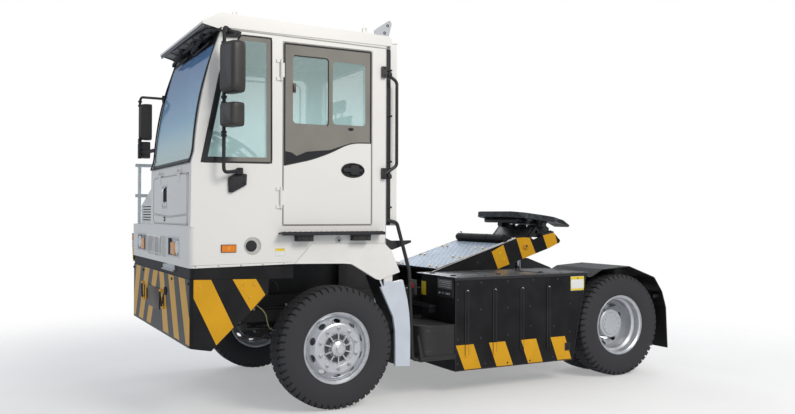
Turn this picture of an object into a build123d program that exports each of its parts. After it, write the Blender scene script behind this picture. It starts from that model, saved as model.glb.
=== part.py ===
"""Terminal tractor: a short 4x2 yard tractor with a half-width offset cab and a lifting fifth wheel.

The model is drawn from the vehicle's datum: X to its left from the centreline, Y to its rear from the
front axle, Z up from the floor. write() moves each finished piece to the middle of the footprint.
"""

import math
import os

from build123d import *

# ---- driving dimensions, mm and degrees --------------------------------------------------------
FOOTPRINT = (136, 1267)  # datum to the middle of the footprint, X and Y
WHEELBASE = 3157
HALF_WIDTH = 1180
FRONT_Y = -1240
REAR_Y = 3809

# wheels
TYRE_R = 520
TYRE_HALF_W = 147
RIM_R = 298.5
RIM_SEAT_R = 286
RIM_HALF_W = 117
AXLE_Z = TYRE_R
FRONT_WHEEL_X = 1046
REAR_OUTER_X = 1056
REAR_INNER_X = 721
REAR_DISC_X = 888
HAND_HOLES = 10

# steering
KINGPIN_X = 890
KINGPIN_R = 18
STEER_ARM = 200
TIE_ROD_Z = 420
SPINDLE_R = 40
RUNNING = 0.05  # radial clearance of a shaft in its bore

GEARBOX_END = 780  # Y of its rear face

# frame
RAIL_X = 430
RAIL_Z = (680, 920)
RAIL_FLANGE = 80
RAIL_T = 9
RAIL_Y = (-1120, 3640)
LIGHT_BAR_X = 545
CAB_CARRIER_Y = (-960, 380)
CROSSMEMBER_Y = (-1060, 840, 1340, 2260, 2700, 3560)

# front end and cab
BODY_Z = 1225  # lower edge of the white body
SILL_Z = 1545  # cab floor line
BELT_Z = 2050  # lower edge of the windscreen
CAB_X = (-320, HALF_WIDTH)
CAB_REAR_Y = 450
CAB_TOP_Z = 3108
WALL = 40
SKIN = 12
GLASS = 6
SCREEN_T = 12  # windscreen, measured along Y
DOOR_Y = (-495, 310)
DOOR_Z = (1555, 3048)
DOOR_GAP = 4
DOOR_HINGE = (1192, -512)  # X and Y of the hinge line
HINGE_Z = (1779, 2815)
HINGE_PIN_R = 5
FLAP_X = (-160, 1100)
FLAP_Z = (1560, 1965)
FLAP_HINGE = (-1252, 1978)  # Y and Z of the hinge line
FLAP_HINGE_X = (120, 820)

# side boxes and deck
BOX_X = (560, 1172)
BOX_Y = 1165
DECK_Z = 1075
DECK_INNER_X = 472
FENDER_X = (500, 1200)

# lift boom
BOOM_PIVOT = (1380, 965)  # Y and Z
BOOM_RISE = 17
PIVOT_R = 30
BOOM_X = 450
BOOM_PLATE = 14
CYLINDER_X = 295
CYLINDER_INNER_X = 217
CYLINDER_BASE = (2560, 430)  # Y and Z
CYLINDER_EYE = (1182, 2)  # along and across the boom
TRUNNION = (1510, 133)  # along and across the boom
PLATE_TILT = -7
JAW_R = 25.7


# ---- helpers -----------------------------------------------------------------------------------
def plate(outline, x_from, x_to, mode=Mode.ADD):
    """A solid between two X positions from its outline in Y and Z."""
    with BuildSketch(Plane.YZ.offset(x_from)) as profile:
        with BuildLine():
            Polyline(*outline, close=True)
        make_face()
    extrude(profile.sketch, amount=x_to - x_from, mode=mode)


def block(x, y, z, mode=Mode.ADD):
    """A box from its low and high X, Y and Z."""
    with Locations(((x[0] + x[1]) / 2, (y[0] + y[1]) / 2, (z[0] + z[1]) / 2)):
        Box(x[1] - x[0], y[1] - y[0], z[1] - z[0], mode=mode)


def turned(profile, x, y, z, side=1, mode=Mode.ADD):
    """A solid of revolution about X through (x, y, z), from (along X, radius) points; side mirrors X."""
    with BuildSketch(Plane((x, y, z), x_dir=(side, 0, 0), z_dir=(0, -side, 0))) as section:
        with BuildLine():
            Polyline(*profile, close=True)
        make_face()
    revolve(section.sketch, axis=Axis((x, y, z), (1, 0, 0)), mode=mode)


def shaft(start, end, radius, mode=Mode.ADD):
    """A round bar from one point to another."""
    start, end = Vector(*start), Vector(*end)
    with BuildSketch(Plane(start, z_dir=end - start)) as section:
        Circle(radius)
    extrude(section.sketch, amount=(end - start).length, mode=mode)


def tube(points, radius, bend):
    """A bent round tube along points, with every corner bent to one radius."""
    with BuildLine() as route:
        FilletPolyline(*points, radius=bend)
    start = Vector(*points[0])
    with BuildSketch(Plane(start, z_dir=Vector(*points[1]) - start)) as section:
        Circle(radius)
    sweep(section.sketch, path=route.line)


def nose_walls(x, y, z, wall, corner, mode=Mode.ADD):
    """Front and side walls round the vehicle's nose, open to the rear, with rounded front corners."""
    for inset, amount_mode in ((0, mode), (wall, Mode.SUBTRACT)):
        with BuildSketch(Plane.XY.offset(z[0])) as plan:
            with BuildLine():
                rear = y[1] + inset
                corners = [(x[0] + inset, rear), (x[0] + inset, y[0] + inset), (x[1] - inset, y[0] + inset)]
                FilletPolyline(*corners, (x[1] - inset, rear), radius=corner - inset)
                Line((x[1] - inset, rear), (x[0] + inset, rear))
            make_face()
        extrude(plan.sketch, amount=z[1] - z[0], mode=amount_mode)


def write(piece, label):
    """Move a finished piece to the middle of the footprint and write it."""
    placed = Location((-FOOTPRINT[0], -FOOTPRINT[1], 0)) * piece.part
    placed.label = label
    export_step(placed, f"parts/{label}.step")


def boom_plane(x):
    """The boom's own plane at X: along the boom, then across it, from the boom's pivot."""
    rise = math.radians(BOOM_RISE)
    return Plane((x, *BOOM_PIVOT), x_dir=(0, math.cos(rise), math.sin(rise)), z_dir=(1, 0, 0))


def on_boom(along, across):
    """Y and Z of a point given along and across the boom."""
    point = boom_plane(0).from_local_coords((along, across, 0))
    return (point.Y, point.Z)


os.makedirs("parts", exist_ok=True)
SIDES = (("left", 1), ("right", -1))

# ---- frame -------------------------------------------------------------------------------------
REAR_ARM = [(340, 1467), (420, 1467), (545, 1415), (745, 1415), (745, 1396), (560, 1335), (440, 1335)]
RAIL_TAIL = (3150, 760)  # where the rail's top starts to slope down, and its height at the end

with BuildPart() as chassis_frame:
    low, high = RAIL_Z
    tail_y, tail_z = RAIL_TAIL
    side_view = [(RAIL_Y[0], low), (RAIL_Y[1], low), (RAIL_Y[1], tail_z), (tail_y, high), (RAIL_Y[0], high)]
    channel = [
        (RAIL_Y[0] - 1, low + RAIL_T),
        (RAIL_Y[1] + 1, low + RAIL_T),
        (RAIL_Y[1] + 1, tail_z - RAIL_T),
        (tail_y, high - RAIL_T),
        (RAIL_Y[0] - 1, high - RAIL_T),
    ]
    for side in (1, -1):
        plate(side_view, side * (RAIL_X - RAIL_FLANGE), side * RAIL_X)
        plate(channel, side * (RAIL_X - RAIL_FLANGE - 1), side * (RAIL_X - RAIL_T), mode=Mode.SUBTRACT)
    inside = RAIL_X - RAIL_T
    for y in CROSSMEMBER_Y:
        top = high - 25 if y < tail_y else tail_z - 20
        block((-inside, inside), (y - 6, y + 6), (low + 15, top))
        block((-inside, inside), (y - 50, y + 6), (top - 10, top))
    # cylinder base pins, each between a drop plate on the rail and one on the crossmember
    base_y, base_z = CYLINDER_BASE
    drop = [(base_y + 50, high - 30), (base_y - 45, base_z + 40), (base_y - 45, base_z - 45)]
    drop += [(base_y + 45, base_z - 45), (base_y + 150, low + 20), (base_y + 150, high - 30)]
    for side in (1, -1):
        shaft((side * CYLINDER_INNER_X, base_y, base_z), (side * inside, base_y, base_z), 30)
        for x in (CYLINDER_INNER_X, inside - 14):
            plate(drop, side * x, side * (x + 14))
    # boom pivot brackets on the rails
    pivot_y, pivot_z = BOOM_PIVOT
    ear = [(pivot_y - 90, high - 60), (pivot_y + 90, high - 60), (pivot_y + 45, pivot_z + 45)]
    for side in (1, -1):
        plate(ear + [(pivot_y - 45, pivot_z + 45)], side * (inside - 14), side * inside)
        shaft((side * (inside - 14), *BOOM_PIVOT), (side * (BOOM_X + 8), *BOOM_PIVOT), PIVOT_R)
    # cab carriers on posts from the rails
    for y in CAB_CARRIER_Y:
        block((CAB_X[0], HALF_WIDTH - 50), (y - 40, y + 40), (SILL_Z - 80, SILL_Z))
        for side in (1, -1):
            block(sorted((side * (RAIL_X - 80), side * RAIL_X)), (y - 40, y + 40), (high, SILL_Z - 80))
        block((-HALF_WIDTH + SKIN, CAB_X[0]), (y - 40, y + 40), (SILL_Z - 80, SILL_Z - SKIN))
    # bracket arm behind the cab, under its rear carrier
    plate(REAR_ARM, 1060, 1100)
    # rear light bar and tow pin bracket
    block((-LIGHT_BAR_X, LIGHT_BAR_X), (RAIL_Y[1], RAIL_Y[1] + 8), (low - 20, low + 125))
    block((-120, 120), (RAIL_Y[0] - 60, CROSSMEMBER_Y[0]), (low + 20, low + 110))
write(chassis_frame, "chassis_frame")

# ---- front axle, knuckles and tie rod ----------------------------------------------------------
BEAM_DROP = 60
SPRING_X = 430

with BuildPart() as front_axle:
    half = [
        (0, AXLE_Z - BEAM_DROP - 50),
        (600, AXLE_Z - BEAM_DROP - 50),
        (800, AXLE_Z - 50),
        (KINGPIN_X, AXLE_Z - 50),
        (KINGPIN_X, AXLE_Z + 50),
        (780, AXLE_Z + 50),
        (580, AXLE_Z - BEAM_DROP + 50),
        (0, AXLE_Z - BEAM_DROP + 50),
    ]
    with BuildSketch(Plane.XZ.offset(-45)) as web:
        with BuildLine():
            Polyline(*half, close=True)
        make_face()
        mirror(about=Plane.YZ)
    extrude(web.sketch, amount=90)
    with Locations((KINGPIN_X, 0, AXLE_Z), (-KINGPIN_X, 0, AXLE_Z)):
        Cylinder(45, 110)
    for side in (1, -1):
        with Locations((side * KINGPIN_X, 0, AXLE_Z)):
            Cylinder(KINGPIN_R + RUNNING, 200, mode=Mode.SUBTRACT)
        # leaf pack: three leaves, each shorter than the one above, and a clamp plate
        for leaf, reach in enumerate((620, 480, 330)):
            z = AXLE_Z + 98 - 19.5 * leaf
            arch = 26 if leaf == 0 else 10
            with BuildSketch(Plane.YZ.offset(side * SPRING_X - 38)) as leaf_face:
                with BuildLine():
                    ThreePointArc((-reach, z + arch), (0, z), (reach, z + arch))
                    Line((reach, z + arch), (reach, z + arch - 20))
                    ThreePointArc((reach, z + arch - 20), (0, z - 20), (-reach, z + arch - 20))
                    Line((-reach, z + arch - 20), (-reach, z + arch))
                make_face()
            extrude(leaf_face.sketch, amount=76)
        block((side * SPRING_X - 50, side * SPRING_X + 50), (-70, 70), (AXLE_Z - 20, AXLE_Z + 42))
        block((side * SPRING_X - 45, side * SPRING_X + 45), (-60, 60), (AXLE_Z + 90, AXLE_Z + 130))
        for y in (-590, 590):
            block((side * SPRING_X - 40, side * SPRING_X + 40), (y - 25, y + 25), (AXLE_Z + 96, RAIL_Z[0]))
write(front_axle, "front_axle")

# backplate and spindle section, (outward from the knuckle, radius)
SPINDLE = [
    (0, 0), (0, 205), (8, 205), (8, 75), (14, 75), (14, SPINDLE_R + 12), (30, SPINDLE_R), (158, SPINDLE_R),
    (158, 0),
]

for name, side in SIDES:
    with BuildPart() as knuckle:
        x = side * KINGPIN_X
        for z in (AXLE_Z - 100, AXLE_Z + 60):
            with Locations((x, 0, z + 20)):
                Cylinder(46, 40)
            block(sorted((x, x + side * 75)), (-46, 46), (z, z + 40))
        block(sorted((x + side * 50, x + side * 75)), (-46, 46), (AXLE_Z - 100, AXLE_Z + 100))
        with Locations((x, 0, AXLE_Z)):
            Cylinder(KINGPIN_R, 220)
        turned(SPINDLE, x + side * 75, 0, AXLE_Z, side)
        # steering arm, level with the tie rod, ending in a ball pin
        arm = [(x - 20, 0), (x + 20, 0), (x + 22, STEER_ARM), (x - 22, STEER_ARM)]
        with BuildSketch(Plane.XY.offset(TIE_ROD_Z)) as arm_face:
            with BuildLine():
                Polyline(*arm, close=True)
            make_face()
            with Locations((x, STEER_ARM)):
                Circle(24)
        extrude(arm_face.sketch, amount=26)
        with Locations((x, STEER_ARM, TIE_ROD_Z - 20)):
            Cylinder(12, 42)
    write(knuckle, f"knuckle_{name}")

with BuildPart() as tie_rod:
    rod_z = TIE_ROD_Z - 30
    shaft((-KINGPIN_X, STEER_ARM, rod_z), (KINGPIN_X, STEER_ARM, rod_z), 18)
    for side in (1, -1):
        with Locations((side * KINGPIN_X, STEER_ARM, rod_z)):
            Cylinder(26, 44)
            Cylinder(14, 60, mode=Mode.SUBTRACT)
write(tie_rod, "tie_rod")

# ---- wheels ------------------------------------------------------------------------------------
# rim section, (from the rim's middle towards the disc side, radius)
BARREL = [
    (-117, 298.5), (-117, 290), (-105, 276), (-40, 272), (-20, 252), (60, 252), (80, 272), (105, 276),
    (117, 290), (117, 298.5), (107, 298.5), (104, 286), (84, 284), (64, 262), (-24, 262), (-44, 284),
    (-104, 286), (-107, 298.5),
]
# tyre section, (from the tyre's middle, radius), out to the lugs' tips
TYRE = [
    (-102, 287), (-106, 299.5), (-119, 304), (-141, 350), (-147, 400), (-140, 450), (-126, 496),
    (-112, 512), (-60, 520), (60, 520), (112, 512), (126, 496), (140, 450), (147, 400), (141, 350),
    (119, 304), (106, 299.5), (102, 287),
]
# wheel discs, hubs and drums, (from the rim's or the hub's middle towards the outside, radius)
FRONT_DISC = [
    (52, 262), (60, 262), (84, 252), (104, 240), (134, 212), (142, 198), (142, 148), (130, 148), (130, 192),
    (122, 204), (94, 230), (74, 240), (52, 246),
]
FRONT_HUB = [
    (-30, SPINDLE_R + RUNNING), (-30, 90), (60, 105), (112, 148), (112, 166), (130, 166), (130, 128),
    (120, 118), (120, 74), (152, 62), (164, 40), (164, 0), (100, 0), (100, SPINDLE_R + RUNNING),
]
FRONT_DRUM = [(-70, 190), (-70, 206), (10, 206), (10, 96), (-2, 96), (-2, 190)]
REAR_HUB = [
    (-178, 86), (-178, 94), (-60, 100), (-20, 166), (14, 166), (14, 150), (150, 146), (158, 138),
    (158, 118), (166, 112), (166, 0), (120, 0), (120, 86),
]
REAR_DRUM = [(-186, 190), (-186, 206), (-20, 206), (-20, 150), (-30, 150), (-30, 190)]

for name, side in SIDES:
    wheel_x = side * FRONT_WHEEL_X
    with BuildPart() as front_wheel:
        turned(BARREL, wheel_x, 0, AXLE_Z, side)
        turned(FRONT_DISC, wheel_x, 0, AXLE_Z, side)
        with BuildSketch(Plane((wheel_x + side * 66, 0, AXLE_Z), z_dir=(side, 0, 0))) as openings:
            with PolarLocations(230, HAND_HOLES):
                Ellipse(17, 33)
        extrude(openings.sketch, amount=80, mode=Mode.SUBTRACT)
        # hub: a flange behind the disc, a ribbed barrel and a hex-topped cap
        turned(FRONT_HUB, wheel_x, 0, AXLE_Z, side)
        with Locations(Plane((wheel_x + side * 133, 0, AXLE_Z), z_dir=(side, 0, 0))):
            with PolarLocations(98, 10):
                Box(60, 10, 28)
        with BuildSketch(Plane((wheel_x + side * 164, 0, AXLE_Z), z_dir=(side, 0, 0))) as nut:
            RegularPolygon(30, 6)
        extrude(nut.sketch, amount=18)
        turned(FRONT_DRUM, wheel_x, 0, AXLE_Z, side)
    write(front_wheel, f"front_wheel_{name}")
    with BuildPart() as front_tyre:
        turned(TYRE, wheel_x, 0, AXLE_Z, side)
    write(front_tyre, f"front_tyre_{name}")

    with BuildPart() as rear_wheel:
        for rim_x, facing in ((side * REAR_OUTER_X, -side), (side * REAR_INNER_X, side)):
            turned(BARREL, rim_x, WHEELBASE, AXLE_Z, facing)
            to_disc = abs(REAR_DISC_X - abs(rim_x)) - 1
            disc = [(60, 262), (52, 252), (96, 236), (to_disc - 14, 196), (to_disc - 14, 140), (to_disc, 140)]
            turned(disc + [(to_disc, 204), (104, 246), (84, 262)], rim_x, WHEELBASE, AXLE_Z, facing)
        hub_x = side * REAR_DISC_X
        for hole_x in (hub_x - side * 34, hub_x + side * 34):
            with Locations(Plane((hole_x, WHEELBASE, AXLE_Z), z_dir=(side, 0, 0))):
                with PolarLocations(218, HAND_HOLES):
                    Cylinder(26, 60, mode=Mode.SUBTRACT)
        # hub, drum and half shaft flange
        turned(REAR_HUB, hub_x, WHEELBASE, AXLE_Z, side)
        turned(REAR_DRUM, hub_x, WHEELBASE, AXLE_Z, side)
    write(rear_wheel, f"rear_wheels_{name}")
    with BuildPart() as rear_tyres:
        for tyre_x in (REAR_OUTER_X, REAR_INNER_X):
            turned(TYRE, side * tyre_x, WHEELBASE, AXLE_Z, side)
    write(rear_tyres, f"rear_tyres_{name}")

# ---- rear axle ---------------------------------------------------------------------------------
with BuildPart() as rear_axle:
    shaft((-REAR_DISC_X - 100, WHEELBASE, AXLE_Z), (REAR_DISC_X + 100, WHEELBASE, AXLE_Z), 80)
    with Locations((0, WHEELBASE, AXLE_Z)):
        Sphere(190)
    with BuildSketch(Plane((0, WHEELBASE - 120, AXLE_Z), z_dir=(0, -1, 0))) as nose:
        Circle(140)
    extrude(nose.sketch, amount=260, taper=12)
    # propeller shaft to the gearbox
    shaft((0, WHEELBASE - 370, AXLE_Z + 4), (0, GEARBOX_END + 3, 645), 42)
    for side in (1, -1):
        block(sorted((side * 350, side * 430)), (WHEELBASE - 90, WHEELBASE + 90), (AXLE_Z, RAIL_Z[0]))
write(rear_axle, "rear_axle")

# ---- engine ------------------------------------------------------------------------------------
with BuildPart() as engine_block:
    block((-330, 330), (-900, 330), (640, 1400))
    block((-280, 280), (329, GEARBOX_END), (600, 1240))
    for y in (-600, 150):
        block((RAIL_T - RAIL_X, RAIL_X - RAIL_T), (y - 50, y + 50), (740, 800))
write(engine_block, "engine_block")

# ---- front bumper ------------------------------------------------------------------------------
CORNER_R = 45
BUMPER_SIDE = [(-1300, 1139), (-608, 1129), (-613, 1007), (-1075, 580), (-1300, 620)]

with BuildPart() as front_bumper:
    nose_walls((-HALF_WIDTH, HALF_WIDTH), (FRONT_Y, -560), (560, 1139), 8, CORNER_R)
    plate(BUMPER_SIDE, -HALF_WIDTH, HALF_WIDTH, mode=Mode.INTERSECT)
    # recessed band that the white body stands on
    edge = HALF_WIDTH - 6
    with BuildPart(mode=Mode.PRIVATE) as band:
        nose_walls((-edge, edge), (FRONT_Y + 6, -400), (1125, BODY_Z), 8, CORNER_R)
    add(band.part)
    # tow slots through the front face
    for x in (200, -470):
        block((x - 22, x + 22), (FRONT_Y - 5, FRONT_Y + 20), (860, 925), mode=Mode.SUBTRACT)
    # brackets to the rails
    for side in (1, -1):
        block(sorted((side * 350, side * 430)), (FRONT_Y + 6, RAIL_Y[0]), (RAIL_Z[0] + 20, RAIL_Z[1] - 20))
write(front_bumper, "front_bumper")

# ---- lower nose body, arches and mudguards -----------------------------------------------------
NOSE_SIDE = [(-1300, BODY_Z), (-388, 1240), (-236, 1403), (440, 1395), (440, SILL_Z), (-1300, SILL_Z)]
GRILLE_SLOTS = (-40, 360, 9)  # first X, last X and count of the vertical slots
HEADLAMP_X = ((465, 866), (-866, -465))
HEADLAMP_Z = (1295, 1455)

with BuildPart() as nose_body:
    nose_walls((-HALF_WIDTH, HALF_WIDTH), (FRONT_Y - 6, 440), (BODY_Z, SILL_Z), SKIN, CORNER_R)
    plate(NOSE_SIDE, -HALF_WIDTH, HALF_WIDTH, mode=Mode.INTERSECT)
    block((-HALF_WIDTH + SKIN, CAB_X[0]), (FRONT_Y + 6, 440), (SILL_Z - SKIN, SILL_Z))
    for x in HEADLAMP_X:
        block(x, (FRONT_Y - 10, FRONT_Y + 10), HEADLAMP_Z, mode=Mode.SUBTRACT)
    first, last, count = GRILLE_SLOTS
    for index in range(count):
        x = first + (last - first) * index / (count - 1)
        block((x - 12, x + 12), (FRONT_Y - 10, FRONT_Y + 10), (1275, 1455), mode=Mode.SUBTRACT)
        block((-x - 12, -x + 12), (FRONT_Y - 10, FRONT_Y + 10), (1275, 1455), mode=Mode.SUBTRACT)
write(nose_body, "nose_body")

ARCH_LIP = [
    (-388, 1240), (43, 1232), (124, 1224), (230, 1164), (353, 1090), (393, 1080), (466, 1106), (586, 1143),
    (505, 1330), (448, 1384), (438, 1395), (-236, 1403),
]
LINER = [(388, 1110), (425, 1017), (512, 819), (572, 646), (588, 484), (588, 323)]
LINER_T = 14
GUARD_FACE = [
    (402, 1015), (476, 860), (525, 756), (545, 639), (548, 509), (548, 323), (689, 314), (694, 403),
    (694, 636), (684, 780), (666, 894), (622, 1066), (612, 1074), (500, 1052),
]
GUARD_X = (900, HALF_WIDTH - 30, HALF_WIDTH - 2)  # liner's inner edge, and both sides of the outer face

with BuildPart() as front_mudguards:
    inner, face, outer = GUARD_X
    for side in (1, -1):
        plate(ARCH_LIP, side * face, side * (HALF_WIDTH + 4))
        back = [(y + LINER_T, z) for y, z in LINER]
        plate(LINER + back[::-1], side * inner, side * (face + 5))
        plate(GUARD_FACE, side * face, side * outer)
        # tab between the lip and the guard
        plate([(440, 1095), (520, 1120), (520, 1050), (440, 1030)], side * face, side * (outer - 10))
write(front_mudguards, "front_mudguards")

# ---- cab ---------------------------------------------------------------------------------------
# front edge of the cab in Y and Z, from the sill up to the roof
SCREEN_FOOT = (FRONT_Y + 5, BELT_Z)
SCREEN_LOW = (-1212, 2130)
SCREEN_MID = (-1150, 2590)
SCREEN_TOP = (-1000, CAB_TOP_Z)
ROOF_SIDE = [
    (-1157, 3122), (-1157, 3140), (-1014, 3221), (-480, 3209), (470, 3192), (500, 3170), (500, 3108),
    (-1010, 3108), (-1030, 3095),
]
DOOR_GLASS_FOOT = [(-485, 2041), (-247, 2095), (-75, 2158), (65, 2228), (154, 2251), (302, 2254)]
QUARTER_GLASS = [(-591, 3069), (-586, 2053), (-1166, 2045), (-1020, 2765), (-853, 3068)]


def cab_side(mode=Mode.ADD, x=CAB_X):
    """The cab's side outline between two X positions, with its curved windscreen edge."""
    with BuildSketch(Plane.YZ.offset(x[0])) as outline:
        with BuildLine():
            rear = [(CAB_REAR_Y, CAB_TOP_Z), (CAB_REAR_Y, SILL_Z)]
            Polyline(SCREEN_TOP, *rear, (FRONT_Y, SILL_Z), SCREEN_FOOT, SCREEN_LOW)
            ThreePointArc(SCREEN_LOW, SCREEN_MID, SCREEN_TOP)
        make_face()
    extrude(outline.sketch, amount=x[1] - x[0], mode=mode)


def rounded_window(y, z, x, radius=60):
    """Cut a window with round corners through a side wall."""
    with BuildSketch(Plane.YZ.offset(x[0])) as opening:
        with Locations(((y[0] + y[1]) / 2, (z[0] + z[1]) / 2)):
            RectangleRounded(y[1] - y[0], z[1] - z[0], radius)
    extrude(opening.sketch, amount=x[1] - x[0], mode=Mode.SUBTRACT)


LEFT_INNER = HALF_WIDTH - WALL
with BuildPart() as cab_left_wall:
    cab_side(x=(LEFT_INNER, HALF_WIDTH))
    frame_y, frame_z = ((low - DOOR_GAP, high + DOOR_GAP) for low, high in (DOOR_Y, DOOR_Z))
    block((LEFT_INNER - 1, HALF_WIDTH + 1), frame_y, frame_z, mode=Mode.SUBTRACT)
    plate(QUARTER_GLASS, HALF_WIDTH - GLASS, HALF_WIDTH + 1, mode=Mode.SUBTRACT)
    clear = [(-639, 3022), (-634, 2102), (-1122, 2096), (-985, 2750), (-838, 3022)]
    plate(clear, LEFT_INNER - 1, HALF_WIDTH + 1, mode=Mode.SUBTRACT)
    for z in HINGE_Z:
        shaft((*DOOR_HINGE, z - 85), (*DOOR_HINGE, z + 85), HINGE_PIN_R)
        for low_z in (z - 85, z + 60):
            shaft((*DOOR_HINGE, low_z), (*DOOR_HINGE, low_z + 25), 11)
            block((HALF_WIDTH, HALF_WIDTH + 10), (DOOR_HINGE[1] - 40, DOOR_HINGE[1]), (low_z, low_z + 25))
write(cab_left_wall, "cab_left_wall")

RIGHT_WINDOW = ((-900, 300), (2080, 3000))
with BuildPart() as cab_right_wall:
    cab_side(x=(CAB_X[0], CAB_X[0] + WALL))
    rounded_window(*RIGHT_WINDOW, (CAB_X[0] - 1, CAB_X[0] + WALL + 1))
write(cab_right_wall, "cab_right_wall")

REAR_WINDOW = ((-150, 1000), (2080, 2980))
REAR_PANE = [high - low for low, high in REAR_WINDOW]  # width and height
INNER_X = (CAB_X[0] + WALL, LEFT_INNER)
with BuildPart() as cab_rear_wall:
    block(INNER_X, (CAB_REAR_Y - WALL, CAB_REAR_Y), (SILL_Z, CAB_TOP_Z))
    middle = (sum(REAR_WINDOW[0]) / 2, CAB_REAR_Y, sum(REAR_WINDOW[1]) / 2)
    with BuildSketch(Plane(middle, x_dir=(1, 0, 0), z_dir=(0, -1, 0))) as opening:
        RectangleRounded(*REAR_PANE, 60)
    extrude(opening.sketch, amount=WALL, mode=Mode.SUBTRACT)
    # upright duct behind the cab's left rear corner, on two spacers
    block((930, 1110), (525, 590), (SILL_Z + 8, 3151))
    for z in (1700, 2900):
        block((980, 1060), (CAB_REAR_Y, 530), (z, z + 80))
write(cab_rear_wall, "cab_rear_wall")

with BuildPart() as cab_front_wall:
    cab_side(x=INNER_X)
    block(INNER_X, (-1300, 600), (BELT_Z, 3300), mode=Mode.SUBTRACT)
    block(INNER_X, (FRONT_Y + WALL, 600), (SILL_Z, BELT_Z), mode=Mode.SUBTRACT)
    recess_x, recess_z = ((low - DOOR_GAP, high + DOOR_GAP) for low, high in (FLAP_X, FLAP_Z))
    block(recess_x, (-1300, FRONT_Y + 24), recess_z, mode=Mode.SUBTRACT)
    for x in FLAP_HINGE_X:
        shaft((x - 70, *FLAP_HINGE), (x + 70, *FLAP_HINGE), 4)
        for low_x in (x - 70, x + 42):
            shaft((low_x, *FLAP_HINGE), (low_x + 28, *FLAP_HINGE), 8)
            leaf_z = (FLAP_HINGE[1] - 4, FLAP_HINGE[1] + 30)
            block((low_x, low_x + 28), (FLAP_HINGE[0], FRONT_Y + 10), leaf_z)
write(cab_front_wall, "cab_front_wall")

with BuildPart() as front_flap:
    block(FLAP_X, (FRONT_Y - 6, FRONT_Y + 14), FLAP_Z)
    fillet(front_flap.edges().filter_by(Axis.Y), 45)
    for x in FLAP_HINGE_X:
        block((x - 40, x + 40), (FLAP_HINGE[0], FRONT_Y - 6), (FLAP_Z[1] - 60, FLAP_HINGE[1]))
        shaft((x - 40, *FLAP_HINGE), (x + 40, *FLAP_HINGE), 8)
        shaft((x - 41, *FLAP_HINGE), (x + 41, *FLAP_HINGE), 4 + RUNNING, mode=Mode.SUBTRACT)
write(front_flap, "front_flap")

with BuildPart() as cab_floor:
    block(INNER_X, (FRONT_Y + WALL, CAB_REAR_Y - WALL), (SILL_Z, SILL_Z + WALL))
write(cab_floor, "cab_floor")

EYE_Z = 3240  # middle of the lifting eyes
EYE_R = 24
GUSSET = [(418, 3180), (545, 3180), (592, 3348), (580, 3376), (562, 3376), (467, 3312), (418, 3275)]
with BuildPart() as cab_roof:
    plate(ROOF_SIDE, CAB_X[0] - 12, HALF_WIDTH + 8)
    for x in (CAB_X[0] + 60, HALF_WIDTH - 60):
        for y in (-877, 268):
            with BuildSketch(Plane.YZ.offset(x - 7)) as eye:
                with Locations((y, EYE_Z)):
                    Circle(EYE_R)
                with Locations((y, EYE_Z - 30)):
                    Rectangle(2 * EYE_R, 60)
                with Locations((y, EYE_Z)):
                    Circle(EYE_R - 11, mode=Mode.SUBTRACT)
            extrude(eye.sketch, amount=14)
    plate(GUSSET, 1000, 1008)
write(cab_roof, "cab_roof")

with BuildPart() as windscreen:
    cab_side(x=INNER_X)
    with BuildPart(mode=Mode.PRIVATE) as behind:
        cab_side(x=INNER_X)
    add(Location((0, SCREEN_T, 0)) * behind.part, mode=Mode.SUBTRACT)
    block(INNER_X, (-1400, 600), (1000, BELT_Z), mode=Mode.SUBTRACT)
    block(INNER_X, (-900, 600), (2000, 3300), mode=Mode.SUBTRACT)
write(windscreen, "windscreen")

with BuildPart() as cab_windows:
    plate(QUARTER_GLASS, HALF_WIDTH - GLASS, HALF_WIDTH)
    with BuildSketch(Plane.YZ.offset(CAB_X[0] + 10)) as right_pane:
        with Locations((sum(RIGHT_WINDOW[0]) / 2, sum(RIGHT_WINDOW[1]) / 2)):
            RectangleRounded(*(high - low for low, high in RIGHT_WINDOW), 60)
    extrude(right_pane.sketch, amount=GLASS)
    pane_at = (middle[0], CAB_REAR_Y - 16, middle[2])
    with BuildSketch(Plane(pane_at, x_dir=(1, 0, 0), z_dir=(0, -1, 0))) as rear_pane:
        RectangleRounded(*REAR_PANE, 60)
    extrude(rear_pane.sketch, amount=GLASS)
write(cab_windows, "cab_windows")

DOOR_GLASS = [(-485, 3038), *DOOR_GLASS_FOOT, (302, 3038)]
DOOR_CLEAR = [
    (-425, 2980), (-425, 2120), (-247, 2160), (-75, 2222), (65, 2290), (154, 2312), (244, 2316),
    (244, 2980),
]
with BuildPart() as door:
    block((LEFT_INNER, HALF_WIDTH), DOOR_Y, DOOR_Z)
    plate(DOOR_GLASS, HALF_WIDTH - GLASS, HALF_WIDTH + 1, mode=Mode.SUBTRACT)
    plate(DOOR_CLEAR, LEFT_INNER - 1, HALF_WIDTH + 1, mode=Mode.SUBTRACT)
    # recessed pull handle and hinge leaves
    with BuildSketch(Plane.YZ.offset(HALF_WIDTH - 16)) as pull:
        with Locations((132, 2018)):
            SlotOverall(207, 110)
    extrude(pull.sketch, amount=20, mode=Mode.SUBTRACT)
    block((HALF_WIDTH - 8, HALF_WIDTH + 6), (45, 220), (2008, 2030))
    for y in (45, 200):
        block((HALF_WIDTH - 17, HALF_WIDTH - 8), (y, y + 20), (2008, 2030))
    for z in HINGE_Z:
        block((HALF_WIDTH + 1, HALF_WIDTH + 10), (DOOR_HINGE[1], DOOR_Y[0]), (z - 58, z + 58))
        block((HALF_WIDTH, HALF_WIDTH + 10), (DOOR_Y[0], DOOR_Y[0] + 9), (z - 58, z + 58))
        shaft((*DOOR_HINGE, z - 58), (*DOOR_HINGE, z + 58), 11)
        shaft((*DOOR_HINGE, z - 59), (*DOOR_HINGE, z + 59), HINGE_PIN_R + RUNNING, mode=Mode.SUBTRACT)
write(door, "door")

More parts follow.
